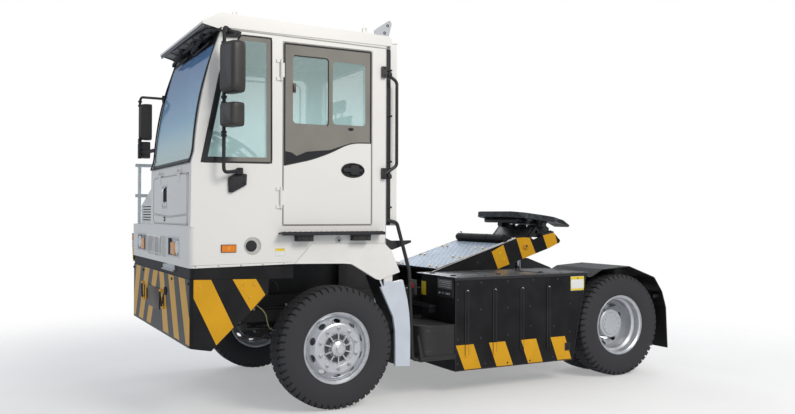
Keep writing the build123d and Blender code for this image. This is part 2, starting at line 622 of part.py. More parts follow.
with BuildPart() as door_glass:
    plate(DOOR_GLASS, HALF_WIDTH - GLASS, HALF_WIDTH)
write(door_glass, "door_glass")

# ---- inside the cab ----------------------------------------------------------------------------
SEAT_X = 430
with BuildPart() as driver_seat:
    with Locations((SEAT_X, 60, SILL_Z + 230)):
        Box(460, 420, 380)
    with Locations((SEAT_X, 60, SILL_Z + 480)):
        Box(520, 500, 120)
    plate([(230, 2045), (310, 2045), (390, 2725), (310, 2745)], SEAT_X - 250, SEAT_X + 250)
write(driver_seat, "driver_seat")

DASH = [
    (FRONT_Y + WALL, 1925), (-980, 1875), (-880, 1975), (-900, 2120), (-1130, 2140),
    (FRONT_Y + WALL, BELT_Z),
]
with BuildPart() as dashboard:
    plate(DASH, INNER_X[0], INNER_X[1])
write(dashboard, "dashboard")

with BuildPart() as steering_wheel:
    shaft((SEAT_X, -880, SILL_Z + 420), (SEAT_X, -680, 2230), 30)
    wheel_plane = Plane((SEAT_X, -675, 2240), x_dir=(1, 0, 0), z_dir=(0, 0.5, 0.87))
    with BuildSketch(Plane(wheel_plane.origin, x_dir=(0, 0.87, -0.5), z_dir=(1, 0, 0))) as rim:
        with Locations((220, 0)):
            Circle(15)
    revolve(rim.sketch, axis=Axis(wheel_plane.origin, wheel_plane.z_dir))
    with Locations(wheel_plane):
        Cylinder(50, 40)
        with PolarLocations(130, 3):
            Box(190, 36, 14)
write(steering_wheel, "steering_wheel")

# ---- mirrors, rails and steps ------------------------------------------------------------------
MIRRORS = (  # middle X, Y, Z, then width, depth, height and turn of each head
    (1395.5, -967, 2750, 204, 100, 390, 20),
    (1395.5, -967, 2390, 190, 100, 190, 20),
    (-815, -1201, 2550, 180, 110, 355, -20),
    (-868, -1202, 2277, 170, 110, 165, -20),
)
HEAD_CORNER_R = 30
POLE = (1295, -1000)  # X and Y of the left mirrors' pole
FAR_POLE = (-780, -1262)
MIRROR_PAD = [(-950, 1932), (-946, 1818), (-922, 1812), (-804, 1876), (-800, 1962), (-880, 1972)]
with BuildPart() as mirrors:
    pole_x, pole_y = POLE
    plate([(-990, 3030), (-860, 3040), (-850, 3085), (-960, 3098)], HALF_WIDTH, HALF_WIDTH + 24)
    upright = [(pole_x, pole_y, 3092), (pole_x, pole_y, 1965)]
    tube([(HALF_WIDTH + 12, -905, 3070), *upright, (HALF_WIDTH + 34, -868, 1985)], 14, 45)
    plate(MIRROR_PAD, HALF_WIDTH, HALF_WIDTH + 26)
    block((HALF_WIDTH + 20, HALF_WIDTH + 56), (-890, -840), (1958, 2010))
    far_x, far_y = FAR_POLE
    block((CAB_X[0] - 8, CAB_X[0]), (-1140, -1090), (2690, 2755))
    tube([(CAB_X[0] - 7, -1116, 2725), (far_x, far_y, 2790), (far_x, far_y, 2190)], 12, 60)
    block((CAB_X[0] - 8, CAB_X[0]), (-1190, -1140), (2210, 2290))
    shaft((CAB_X[0] - 7, -1165, 2250), (far_x + 30, -1195, 2250), 20)
    for x, y, z, width, depth, height, turn in MIRRORS:
        with BuildSketch(Plane((x, y, z - height / 2)).rotated((0, 0, turn))) as head:
            RectangleRounded(width, depth, HEAD_CORNER_R)
        extrude(head.sketch, amount=height)
write(mirrors, "mirrors")

GUARD_RAIL_X = -1150
GUARD_POST_Y = (-1188, -400, 380)
GUARD_RAIL_Z = (1830, 2140)
with BuildPart() as handrails:
    grab_x = HALF_WIDTH + 16
    for z in (1951, 2828):
        block((HALF_WIDTH, HALF_WIDTH + 30), (400, 440), (z, z + 95))
    tube([(grab_x, 436, 2870), (grab_x, 545, 2800), (grab_x, 545, 2070), (grab_x, 436, 2000)], 14, 45)
    block((1120, 1170), (CAB_REAR_Y, CAB_REAR_Y + 8), (1570, 1630))
    rail = [(CAB_REAR_Y + 4, 1600), (575, 1575), (700, 1150), (735, 357), (800, 357)]
    tube([(1145, y, z) for y, z in rail], 16, 45)
    # guard rail along the right edge, beside the engine hood
    for y in GUARD_POST_Y:
        shaft((GUARD_RAIL_X, y, SILL_Z), (GUARD_RAIL_X, y, GUARD_RAIL_Z[1]), 17)
    for z in GUARD_RAIL_Z:
        shaft((GUARD_RAIL_X, GUARD_POST_Y[0] - 40, z), (GUARD_RAIL_X, GUARD_POST_Y[-1] + 20, z), 17)
write(handrails, "handrails")

STEP_Z = 378
with BuildPart() as steps:
    block((HALF_WIDTH, HALF_WIDTH + 100), (-530, 392), (1483, 1497))
    for y in ((-391, -257), (111, 265)):
        plate([(y[0], 1425), (y[1], 1425), (y[1], 1483), (y[0], 1483)], HALF_WIDTH, HALF_WIDTH + 80)
    # tank step and lower step in front of the left side box
    with BuildSketch(Plane.XY.offset(STEP_Z)) as tank:
        with Locations(((640 + 1165) / 2, (800 + BOX_Y) / 2)):
            Rectangle(1165 - 640, BOX_Y - 800)
        fillet(tank.vertices().group_by(Axis.Y)[0], 110)
    extrude(tank.sketch, amount=645 - STEP_Z)
    block((760, 1175), (800, BOX_Y), (335, STEP_Z))
    for x in (760, 1167):
        plate([(812, STEP_Z), (836, STEP_Z), (790, 560), (770, 560)], x, x + 8)
write(steps, "steps")

with BuildPart() as lamps:
    for x in HEADLAMP_X:
        block(x, (FRONT_Y - 4, FRONT_Y + 10), HEADLAMP_Z)
    for side in (1, -1):
        for x in (330, 430, 530):
            shaft((side * x, RAIL_Y[1] + 8, RAIL_Z[0] + 35), (side * x, RAIL_Y[1] + 48, RAIL_Z[0] + 35), 40)
    block((HALF_WIDTH, HALF_WIDTH + 10), (-998, -884), (1348, 1401))
    # right corner lamp on its wedge
    outer = -HALF_WIDTH - 46
    with BuildSketch(Plane.XZ.offset(1180)) as wedge:
        with BuildLine():
            Polyline((outer, 1440), (outer, 1300), (-HALF_WIDTH, 1160), (-HALF_WIDTH, 1440), close=True)
        make_face()
    extrude(wedge.sketch, amount=60)
write(lamps, "lamps")

# ---- engine hood -------------------------------------------------------------------------------
HOOD = [(-1175, SILL_Z), (-1175, 1730), (-1068, 1920), (440, 1920), (440, SILL_Z)]
HOOD_X = (-1110, CAB_X[0] - 10)
HOOD_T = 16
LOUVRE_Z = range(1580, 1720, 26)
with BuildPart() as engine_hood:
    plate(HOOD, *HOOD_X)
    hollow = [(-1159, SILL_Z - 1), (-1159, 1725), (-1058, 1904), (424, 1904), (424, SILL_Z - 1)]
    plate(hollow, HOOD_X[0] + HOOD_T, HOOD_X[1] - HOOD_T, mode=Mode.SUBTRACT)
    for z in LOUVRE_Z:
        block((HOOD_X[0] + 60, HOOD_X[1] - 60), (-1180, -1150), (z, z + 10), mode=Mode.SUBTRACT)
write(engine_hood, "engine_hood")

# ---- side boxes, deck and fenders --------------------------------------------------------------
BOX_SIDE = [(BOX_Y, 218), (2540, 218), (2720, DECK_Z - 8), (BOX_Y, DECK_Z - 8)]
RIB_Y = (1290, 1600, 1915, 2233)
RIB_Z = (341, 950)
with BuildPart() as side_boxes:
    for side in (1, -1):
        plate(BOX_SIDE, side * BOX_X[0], side * BOX_X[1])
        with BuildSketch(Plane((side * BOX_X[1], 0, 0), x_dir=(0, 1, 0), z_dir=(1, 0, 0))) as ribs:
            for y in RIB_Y:
                with Locations((y, sum(RIB_Z) / 2)):
                    SlotOverall(RIB_Z[1] - RIB_Z[0], 36, rotation=90)
        extrude(ribs.sketch, amount=side * 8)
        # hangers to the rails
        hanger_x = sorted((side * RAIL_X, side * BOX_X[0]))
        for y in (1300, 2350):
            block(hanger_x, (y - 40, y + 40), (RAIL_Z[0] + 20, RAIL_Z[0] + 140))
write(side_boxes, "side_boxes")

with BuildPart() as deck_plates:
    for side in (1, -1):
        deck_x = sorted((side * DECK_INNER_X, side * (HALF_WIDTH + 2)))
        block(deck_x, (BOX_Y - 10, 2735), (DECK_Z - 8, DECK_Z))
write(deck_plates, "deck_plates")

FENDER = [
    (2713, 1032), (2748, 1032), (2894, 1100), (3257, 1121), (3614, 995), (3725, 842), (3781, 673),
    (REAR_Y, 241),
]
FENDER_UNDER = [
    (2713, 1026), (2750, 1026), (2895, 1094), (3256, 1115), (3610, 990), (3719, 839), (3775, 672),
    (REAR_Y - 6, 241),
]
BAR_Y = (RAIL_Y[1] + 8, RAIL_Y[1] + 40)
LUG = [(BAR_Y[1], 775), (3741, 775), (3731, 805), (BAR_Y[1], 805)]
with BuildPart() as rear_fenders:
    for side in (1, -1):
        plate(FENDER + FENDER_UNDER[::-1], side * FENDER_X[0], side * FENDER_X[1])
        # carrier bar behind the light bar, with two lugs up to the sheet
        block(sorted((side * 430, side * 1150)), BAR_Y, (770, 805))
        for x in (530, 1110):
            plate(LUG, side * x, side * (x + 40))
write(rear_fenders, "rear_fenders")

# ---- lift boom ---------------------------------------------------------------------------------
BOOM_TOP = [
    (1085, 122), (1261, 78), (1304, 34), (1427, 40), (1586, 24), (1646, -82), (1631, -103),
    (1476, -117),
]
BOOM_DEPTH = 115
STOP_BAR = (945, 160, 38, 455)  # along, across, radius and half length
with BuildPart() as lift_boom:
    for side in (1, -1):
        face = boom_plane(side * (BOOM_X - BOOM_PLATE if side == 1 else BOOM_X))
        with BuildSketch(face) as arm:
            with BuildLine():
                Polyline((0, BOOM_DEPTH), *BOOM_TOP, (0, -BOOM_DEPTH))
                ThreePointArc((0, -BOOM_DEPTH), (-BOOM_DEPTH, 0), (0, BOOM_DEPTH))
            make_face()
            Circle(PIVOT_R + RUNNING, mode=Mode.SUBTRACT)
        extrude(arm.sketch, amount=BOOM_PLATE)
    # cross plates and the lift pin
    reach = BOOM_X - BOOM_PLATE
    with BuildSketch(boom_plane(-reach)) as cross:
        with BuildLine():
            Polyline((70, 95), (1080, 106), (1080, 118), (70, 107), close=True)
        make_face()
        with BuildLine():
            Polyline((1560, -30), (1600, -30), (1600, 20), (1560, 20), close=True)
        make_face()
    extrude(cross.sketch, amount=2 * reach)
    pin_y, pin_z = on_boom(*CYLINDER_EYE)
    shaft((-BOOM_X - 14, pin_y, pin_z), (BOOM_X + 14, pin_y, pin_z), 25)
    # rounded stop bar on its foot, across the boom's top
    bar_along, bar_across, bar_r, bar_half = STOP_BAR
    bar_at = on_boom(bar_along, bar_across)
    shaft((-bar_half, *bar_at), (bar_half, *bar_at), bar_r)
    with BuildSketch(boom_plane(30 - bar_half)) as foot:
        with BuildLine():
            Polyline((905, 110), (985, 110), (985, 140), (905, 140), close=True)
        make_face()
    extrude(foot.sketch, amount=2 * (bar_half - 30))
write(lift_boom, "lift_boom")

with BuildPart() as boom_tread_plate:
    with BuildSketch(boom_plane(-BOOM_X)) as tread:
        with BuildLine():
            Polyline((60, 123.0), (880, 123.0), (880, 128.0), (60, 128.0), close=True)
        make_face()
    extrude(tread.sketch, amount=2 * BOOM_X)
write(boom_tread_plate, "boom_tread_plate")

PEDESTAL = [(1290, 38), (1304, 34), (1427, 40), (1586, 24), (1618, 60)]  # foot of each side plate
with BuildPart() as fifth_wheel_bracket:
    along, across = TRUNNION
    for side in (1, -1):
        with BuildSketch(boom_plane(side * 320 - 25)) as ear:
            with BuildLine():
                Polyline(*PEDESTAL, (along + 46, across + 10), (along - 46, across + 10), close=True)
            make_face()
            with Locations((along, across)):
                Circle(50)
            with Locations((along - 72, across - 58)):
                Circle(20, mode=Mode.SUBTRACT)
        extrude(ear.sketch, amount=50)
    with BuildSketch(boom_plane(-BOOM_X)) as base:
        with BuildLine():
            Polyline((1427, 40), (1586, 24), (1588, 40), (1430, 56), close=True)
        make_face()
    extrude(base.sketch, amount=2 * BOOM_X)
    # box beam between the side plates and the trunnion pins
    with BuildSketch(boom_plane(-300)) as beam:
        with BuildLine():
            Polyline((1440, 50), (1570, 38), (1570, 80), (1440, 92), close=True)
        make_face()
    extrude(beam.sketch, amount=600)
    trunnion_y, trunnion_z = on_boom(*TRUNNION)
    for side in (1, -1):
        shaft((side * 280, trunnion_y, trunnion_z), (side * 400, trunnion_y, trunnion_z), 22)
write(fifth_wheel_bracket, "fifth_wheel_bracket")

# ---- fifth wheel plate -------------------------------------------------------------------------
tilt = math.radians(PLATE_TILT)
plate_top = Plane((0, trunnion_y, trunnion_z), x_dir=(1, 0, 0), z_dir=(0, -math.sin(tilt), math.cos(tilt)))
PLATE_HEIGHT = 100
PLATE_THICK = 45
RIM_DEPTH = 58
RIM_T = 14
THROAT = (45, 56)  # half width and rear edge of the slot that ends behind the closed jaw
PLATE_FRONT = [(-310, -385), (310, -385), (425, -280), (460, -60), (440, 120)]
PLATE_REAR = [(380, 215), (235, 300), (120, 250), THROAT]
RIM_INSIDE = [(380, 120), (380, -260), (280, -340), (-280, -340), (-380, -260), (-380, 120)]
HORN = [(215, 100), (300, 92), (400, 44), (385, 22), (290, 50), (215, 55)]  # to the rear, and up
with BuildPart() as fifth_wheel_plate:
    top = plate_top.offset(PLATE_HEIGHT - PLATE_THICK)
    with BuildSketch(top) as deck:
        with BuildLine():
            mirrored = [(-x, y) for x, y in (PLATE_FRONT[1:] + PLATE_REAR)[::-1]]
            Polyline(*PLATE_FRONT[1:], *PLATE_REAR, *mirrored, close=True)
        make_face()
        Circle(JAW_R, mode=Mode.SUBTRACT)
    extrude(deck.sketch, amount=PLATE_THICK)
    # deeper rim along the front and the sides
    right_side = [(-x, y) for x, y in PLATE_FRONT[:0:-1]]
    with BuildSketch(plate_top.offset(PLATE_HEIGHT - RIM_DEPTH)) as rim_face:
        with BuildLine():
            Polyline(*right_side, *PLATE_FRONT[1:], *RIM_INSIDE, close=True)
        make_face()
    extrude(rim_face.sketch, amount=RIM_DEPTH - 10)
    # two horns that droop behind the throat
    for side in (1, -1):
        horn_at = (120 if side == 1 else -360, trunnion_y, trunnion_z)
        with BuildSketch(Plane(horn_at, x_dir=plate_top.y_dir, z_dir=(1, 0, 0))) as horn:
            with BuildLine():
                Polyline(*HORN, close=True)
            make_face()
        extrude(horn.sketch, amount=240)
    for side in (1, -1):
        lug_at = (side * 372 - 20, trunnion_y, trunnion_z)
        with BuildSketch(Plane(lug_at, x_dir=plate_top.y_dir, z_dir=(1, 0, 0))) as lug:
            with BuildLine():
                Polyline((-70, PLATE_HEIGHT - 40), (-40, 0), (40, 0), (70, PLATE_HEIGHT - 40), close=True)
            make_face()
            Circle(42)
            Circle(22 + RUNNING, mode=Mode.SUBTRACT)
        extrude(lug.sketch, amount=40)
    # ribs under the deck
    with BuildSketch(plate_top.offset(PLATE_HEIGHT - RIM_DEPTH)) as ribs:
        for x in (-150, 150):
            with Locations((x, -90)):
                Rectangle(18, 500)
    extrude(ribs.sketch, amount=RIM_DEPTH - PLATE_THICK + 1)
write(fifth_wheel_plate, "fifth_wheel_plate")

# ---- lift cylinders ----------------------------------------------------------------------------
pin_y, pin_z = on_boom(*CYLINDER_EYE)
stroke_line = Vector(0, pin_y - base_y, pin_z - base_z)
along_cylinder = stroke_line.normalized()


def on_cylinder(x, distance):
    """A point on a lift cylinder's centreline, from its base pin."""
    return Vector(x, base_y, base_z) + along_cylinder * distance


BARREL_R = 48
BARREL_END = 475  # from the base pin, as are the rod's lower end and the bore's bottom
ROD_START = 413
BORE_START = 62
ROD_R = 29
with BuildPart() as lift_barrels:
    for side in (1, -1):
        x = side * CYLINDER_X
        shaft((x - 32, base_y, base_z), (x + 32, base_y, base_z), 52)
        shaft((x - 40, base_y, base_z), (x + 40, base_y, base_z), 30 + RUNNING, mode=Mode.SUBTRACT)
        shaft(on_cylinder(x, 44), on_cylinder(x, BARREL_END), BARREL_R)
        shaft(on_cylinder(x, BORE_START), on_cylinder(x, BARREL_END + 1), ROD_R + RUNNING, mode=Mode.SUBTRACT)
write(lift_barrels, "lift_barrels")

with BuildPart() as lift_rods:
    length = stroke_line.length
    for side in (1, -1):
        x = side * CYLINDER_X
        shaft(on_cylinder(x, ROD_START), on_cylinder(x, length - 40), ROD_R)
        shaft((x - 28, pin_y, pin_z), (x + 28, pin_y, pin_z), 54)
        shaft((x - 30, pin_y, pin_z), (x + 30, pin_y, pin_z), 37, mode=Mode.SUBTRACT)
write(lift_rods, "lift_rods")
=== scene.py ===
"""Finish of a terminal tractor: paint, glass, tyres, lamps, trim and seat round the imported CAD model."""

import math

import bmesh
import bpy
from bpy.props import FloatVectorProperty, PointerProperty
from mathutils import Matrix, Vector


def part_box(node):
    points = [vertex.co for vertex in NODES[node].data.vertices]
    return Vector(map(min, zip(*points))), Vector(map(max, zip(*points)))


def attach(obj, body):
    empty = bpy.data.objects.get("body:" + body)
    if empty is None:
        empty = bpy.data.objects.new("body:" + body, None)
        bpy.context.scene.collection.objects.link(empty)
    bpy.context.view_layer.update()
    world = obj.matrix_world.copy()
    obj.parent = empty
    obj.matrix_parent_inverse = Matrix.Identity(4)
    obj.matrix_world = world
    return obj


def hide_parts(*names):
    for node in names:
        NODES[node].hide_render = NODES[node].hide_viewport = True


bl_info = {
    "name": "Terminal tractor finish",
    "version": (1, 0, 0),
    "blender": (4, 5, 0),
    "location": "3D View > Sidebar > Tractor",
    "description": "Paint, glass, tyres, lamps, trim and seat of a terminal tractor",
    "category": "Object",
}

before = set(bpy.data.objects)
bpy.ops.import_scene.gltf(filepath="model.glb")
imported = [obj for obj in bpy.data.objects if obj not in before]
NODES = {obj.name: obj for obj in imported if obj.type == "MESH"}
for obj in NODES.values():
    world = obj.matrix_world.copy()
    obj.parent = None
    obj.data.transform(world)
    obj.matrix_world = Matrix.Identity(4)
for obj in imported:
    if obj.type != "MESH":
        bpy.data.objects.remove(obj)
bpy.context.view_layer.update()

# The part's datum: millimetres, X to its left from the centreline, Y to its rear from the front axle, Z up.
TYRE_BOXES = [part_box(f"front_tyre_{side}") for side in ("left", "right")]
DATUM = Vector(((TYRE_BOXES[0][0].x + TYRE_BOXES[1][1].x) / 2, (TYRE_BOXES[0][0].y + TYRE_BOXES[0][1].y) / 2,
                0))
FROM_DATUM = Matrix.Translation(DATUM) @ Matrix.Scale(0.001, 4)
WHEELBASE = 3157
AXLE_Z = 520
FRONT_TYRE_X = 1046
REAR_TYRE_X = (1056, 721)
HALF_WIDTH = 1180
FRONT_Y = -1240
SIDES = (("left", 1), ("right", -1))


def rotation(degrees, axis):
    return Matrix.Rotation(math.radians(degrees), 4, axis)


BOOM_RISE = 17
BOOM = Matrix.Translation((0, 1380, 965)) @ rotation(BOOM_RISE, "X")  # along Y, across Z


# ---- shader expressions ------------------------------------------------------------------------
class Expression:
    """A shader socket with Python's operators. Each operator adds the Math node that does it."""

    def __init__(self, tree, socket):
        self.tree = tree
        self.socket = socket

    def math(self, operation, *others, clamp=False):
        return self.tree.node("ShaderNodeMath", {"operation": operation, "use_clamp": clamp}, self, *others)

    def __add__(self, other):
        return self.math("ADD", other)

    def __radd__(self, other):
        return self.math("ADD", other)

    def __sub__(self, other):
        return self.math("SUBTRACT", other)

    def __mul__(self, other):
        return self.math("MULTIPLY", other)

    def __rmul__(self, other):
        return self.math("MULTIPLY", other)

    def __truediv__(self, other):
        return self.math("DIVIDE", other)

    def __gt__(self, other):
        return self.math("GREATER_THAN", other)

    def __lt__(self, other):
        return self.math("LESS_THAN", other)

    def abs(self):
        return self.math("ABSOLUTE")

    def flipped(self):
        """1 less the value."""
        return self * -1.0 + 1.0

    def between(self, low, high):
        """1 where the value lies between low and high."""
        return (self > low) * (self < high)

    def step(self, low, high):
        """0 below low, 1 above high, and a smooth rise between them."""
        settings = {"interpolation_type": "SMOOTHSTEP"}
        return self.tree.node("ShaderNodeMapRange", settings, self, low, high, 0.0, 1.0)

    def min(self, other):
        return self.math("MINIMUM", other)

    def max(self, other):
        return self.math("MAXIMUM", other)

    def wave(self, length):
        """A sine of the value with the given wave length, from -1 to 1."""
        return self.math("MULTIPLY", 2 * math.pi / length).math("SINE")


class Finish:
    """A node material with a Principled shader, built from expressions in the datum's millimetres."""

    def __init__(self, name):
        self.material = bpy.data.materials.new(name)
        self.material.use_nodes = True
        self.nodes = self.material.node_tree.nodes
        self.links = self.material.node_tree.links
        self.shader = self.nodes["Principled BSDF"]
        point = self.node("ShaderNodeTexCoord", out="Object")
        self.point = self.node(
            "ShaderNodeMapping", {"vector_type": "POINT"}, point, tuple(DATUM * -1000), (0, 0, 0),
            (1000, 1000, 1000)
        )
        outputs = self.node("ShaderNodeSeparateXYZ", None, self.point).socket.node.outputs
        self.x, self.y, self.z = (Expression(self, outputs[index]) for index in range(3))

    def connect(self, socket, value):
        if isinstance(value, Expression):
            self.links.new(value.socket, socket)
        elif value is not None:
            socket.default_value = value

    def node(self, kind, settings=None, *inputs, out=0, **named):
        """Any node: its settings first, then its sockets in order, then sockets by name."""
        made = self.nodes.new(kind)
        for key, value in (settings or {}).items():
            setattr(made, key, value)
        for socket, value in zip(made.inputs, inputs):
            self.connect(socket, value)
        for key, value in named.items():
            self.connect(made.inputs[key.replace("_", " ")], value)
        return Expression(self, made.outputs[out])

    def noise(self, size, detail=3.0, rough=0.55, stretch=(1, 1, 1)):
        """Noise from 0 to 1 whose blotches are about size millimetres, stretched along each axis."""
        scale = tuple(1 / value for value in stretch)
        vector = self.point
        if scale != (1, 1, 1):
            vector = self.node("ShaderNodeMapping", {"vector_type": "POINT"}, self.point, None, None, scale)
        return self.node("ShaderNodeTexNoise", None, vector, Scale=1 / size, Detail=detail, Roughness=rough)

    def cells(self, size, out="Distance"):
        return self.node("ShaderNodeTexVoronoi", None, self.point, Scale=1 / size, out=out)

    def mix(self, factor, first, second):
        """A colour between two, each an expression or a colour tuple."""
        made = self.nodes.new("ShaderNodeMix")
        made.data_type = "RGBA"
        self.connect(made.inputs[0], factor)
        for socket, value in ((made.inputs[6], first), (made.inputs[7], second)):
            self.connect(socket, value if isinstance(value, Expression) else (*value, 1.0))
        return Expression(self, made.outputs[2])

    def bump(self, height, distance, strength=1.0, below=None):
        """A bump whose height of 1 stands distance millimetres proud."""
        return self.node(
            "ShaderNodeBump", None, Strength=strength, Distance=distance / 1000, Height=height, Normal=below
        )

    def within(self, u, v, outline):
        """How far inside a convex outline a point lies, in millimetres; less than 0 outside."""
        inside = None
        area = sum(a[0] * b[1] - b[0] * a[1] for a, b in looped(outline))
        for (u0, v0), (u1, v1) in looped(outline):
            length = math.copysign(math.hypot(u1 - u0, v1 - v0), area)
            across_u, across_v = (v0 - v1) / length, (u1 - u0) / length
            edge = u * across_u + (v * across_v - (u0 * across_u + v0 * across_v))
            inside = edge if inside is None else inside.min(edge)
        return inside

    def stripes(self, u, v, outlines):
        """1 inside any of several convex outlines."""
        found = None
        for outline in outlines:
            here = self.within(u, v, outline)
            found = here if found is None else found.max(here)
        return found > 0.0

    def from_axle(self):
        """Distance from the nearer axle's line, in millimetres."""
        along = self.y.abs().min((self.y - WHEELBASE).abs())
        above = self.z - AXLE_Z
        return (along * along + above * above).math("SQRT")

    def facing(self, axis, low=0.5):
        """1 where the surface faces along an axis, such as "Z"."""
        normal = self.node("ShaderNodeNewGeometry", out="Normal")
        outputs = self.node("ShaderNodeSeparateXYZ", None, normal).socket.node.outputs
        return Expression(self, outputs["XYZ".index(axis)]).step(low, low + 0.3)

    def set(self, **values):
        """Sockets of the Principled shader; a plain colour may leave out its alpha."""
        for key, value in values.items():
            socket = self.shader.inputs[key.replace("_", " ")]
            if isinstance(value, tuple) and len(value) == 3:
                value = (*value, 1.0)
            self.connect(socket, value)
        return self.material


def looped(outline):
    """Each point of a closed outline with the one after it."""
    return zip(outline, outline[1:] + outline[:1])


def oval(y, z, half_y, half_z, half_turn, count):
    """The first points of an oval that has half_turn steps in half a turn."""
    turns = [step * math.pi / half_turn for step in range(count)]
    return [(y + half_y * math.cos(turn), z + half_z * math.sin(turn)) for turn in turns]


def scaled(colour, factor):
    return tuple(value * factor for value in colour)


def dress(material, *nodes):
    """Give CAD nodes one material."""
    for node in nodes:
        mesh = NODES[node].data
        mesh.materials.clear()
        mesh.materials.append(material)


def worn(name, colour, rough=0.45, grain=6.0, depth=0.3, patch=400.0, spread=0.18, **sockets):
    """A finish with uneven colour in large patches and a fine grain in its gloss and its bump."""
    finish = Finish(name)
    patches = finish.noise(patch, 2.0)
    fine = finish.noise(grain, 4.0, 0.65)
    dark = scaled(colour, 1 - spread)
    light = tuple(min(1.0, value * (1 + spread)) for value in colour)
    tone = finish.mix((patches * 0.6 + fine * 0.4).step(0.32, 0.68), dark, light)
    return finish.set(
        Base_Color=tone, Roughness=fine * 0.25 + patches * 0.1 + (rough - 0.17),
        Normal=finish.bump(fine, depth, 0.6),
        **sockets,
    )


# ---- mesh building -----------------------------------------------------------------------------
class Shell:
    """A mesh in the datum's millimetres that grows by one form at a time; a form takes the current finish."""

    def __init__(self):
        self.mesh = bmesh.new()
        self.finish = 0

    def done(self, verts):
        """Give a new form the current finish and return its points."""
        for vert in verts:
            for face in vert.link_faces:
                face.material_index = self.finish
        return verts

    def slab(self, x, y, z, round_by=0, turn=None):
        """A box from its low and high X, Y and Z, with its edges rounded, turned about its middle."""
        middle = Vector(((x[0] + x[1]) / 2, (y[0] + y[1]) / 2, (z[0] + z[1]) / 2))
        size = Matrix.Diagonal((x[1] - x[0], y[1] - y[0], z[1] - z[0], 1))
        matrix = Matrix.Translation(middle) @ (turn or Matrix()) @ size
        verts = bmesh.ops.create_cube(self.mesh, size=1.0, matrix=matrix)["verts"]
        return self.round_edges(verts, round_by)

    def bevelled(self, edges, by):
        """Round some edges and return the points of the new faces."""
        made = bmesh.ops.bevel(
            self.mesh, geom=list(edges), offset=by, segments=2, profile=0.5, affect="EDGES", material=-1,
            clamp_overlap=True,
        )
        return {vert for face in made["faces"] for vert in face.verts}

    def round_edges(self, verts, by):
        if by:
            verts = self.bevelled({edge for vert in verts for edge in vert.link_edges}, by)
        return self.done(verts)

    def prism(self, outline, axis, low, high, round_by=0):
        """A solid between two positions on one axis, from its outline in the other two."""
        at = "XYZ".index(axis)

        def corner(first, second, height):
            point = [first, second]
            point.insert(at, height)
            return Vector(point)

        base = [self.mesh.verts.new(corner(*point, low)) for point in outline]
        face = self.mesh.faces.new(base)
        made = bmesh.ops.extrude_face_region(self.mesh, geom=[face])["geom"]
        top = [item for item in made if isinstance(item, bmesh.types.BMVert)]
        lift = corner(0, 0, high - low)
        bmesh.ops.translate(self.mesh, vec=lift, verts=top)
        return self.round_edges(base + top, round_by)

    def rod(self, start, end, radius, end_radius=None, sides=20, round_by=0):
        """A round or many-sided bar from one point to another."""
        start, end = Vector(start), Vector(end)
        along = end - start
        matrix = Matrix.Translation((start + end) / 2) @ along.to_track_quat("Z", "Y").to_matrix().to_4x4()
        verts = bmesh.ops.create_cone(
            self.mesh, cap_ends=True, segments=sides, radius1=radius,
            radius2=radius if end_radius is None else end_radius, depth=along.length, matrix=matrix,
        )["verts"]
        if round_by:
            caps = {face for vert in verts for face in vert.link_faces if len(face.verts) == sides}
            rounded_off = self.bevelled({edge for face in caps for edge in face.edges}, round_by)
            verts = rounded_off | {vert for vert in verts if vert.is_valid}
        return self.done(verts)

    def spun(self, profile, centre, axis, steps=32, closed=True):
        """A ring or cap from a profile of (along the axis, radius) points, turned about the axis."""
        axis = Vector(axis).normalized()
        outward = axis.orthogonal().normalized()
        centre = Vector(centre)
        points = [self.mesh.verts.new(centre + axis * along + outward * radius) for along, radius in profile]
        pairs = list(looped(points)) if closed else list(zip(points, points[1:]))
        edges = [self.mesh.edges.new(pair) for pair in pairs]
        made = bmesh.ops.spin(
            self.mesh, geom=points + edges, cent=centre, axis=axis, angle=2 * math.pi, steps=steps,
            use_merge=True, use_duplicate=False,
        )
        verts = {item for item in made["geom_last"] if isinstance(item, bmesh.types.BMVert)}
        found = set(points) | verts
        grow = list(found)
        while grow:
            vert = grow.pop()
            for edge in vert.link_edges:
                other = edge.other_vert(vert)
                if other not in found:
                    found.add(other)
                    grow.append(other)
        bmesh.ops.remove_doubles(self.mesh, verts=list(found), dist=0.01)
        return self.done([vert for vert in found if vert.is_valid])

    def bolt(self, point, axis, radius=9, height=9):
        """A hexagon head on a washer."""
        point, axis = Vector(point), Vector(axis).normalized()
        self.rod(point - axis, point + axis * height * 0.3, radius * 1.5, sides=16)
        self.rod(point + axis * height * 0.3, point + axis * height, radius, sides=6, round_by=radius * 0.12)

    def tube(self, points, radius, sides=10, bend=0, steps=5):
        """A round bar through points, with its corners rounded by bend."""
        points = [Vector(point) for point in points]
        route = [points[0]]
        for before, corner, after in zip(points, points[1:], points[2:]):
            if not bend:
                route.append(corner)
                continue
            first = corner + (before - corner).normalized() * min(bend, (before - corner).length * 0.45)
            last = corner + (after - corner).normalized() * min(bend, (after - corner).length * 0.45)
            for index in range(steps + 1):
                part = index / steps
                route.append((1 - part) ** 2 * first + 2 * part * (1 - part) * corner + part**2 * last)
        route.append(points[-1])
        rings = []
        side = None
        for index, point in enumerate(route):
            before = route[max(index - 1, 0)]
            after = route[min(index + 1, len(route) - 1)]
            along = (after - before).normalized()
            side = along.orthogonal() if side is None else side - along * side.dot(along)
            side.normalize()
            up = along.cross(side)
            turns = [2 * math.pi * step / sides for step in range(sides)]
            ring = [point + (side * math.cos(turn) + up * math.sin(turn)) * radius for turn in turns]
            rings.append([self.mesh.verts.new(place) for place in ring])
        self.skin(rings)
        return self.done([vert for ring in rings for vert in ring])

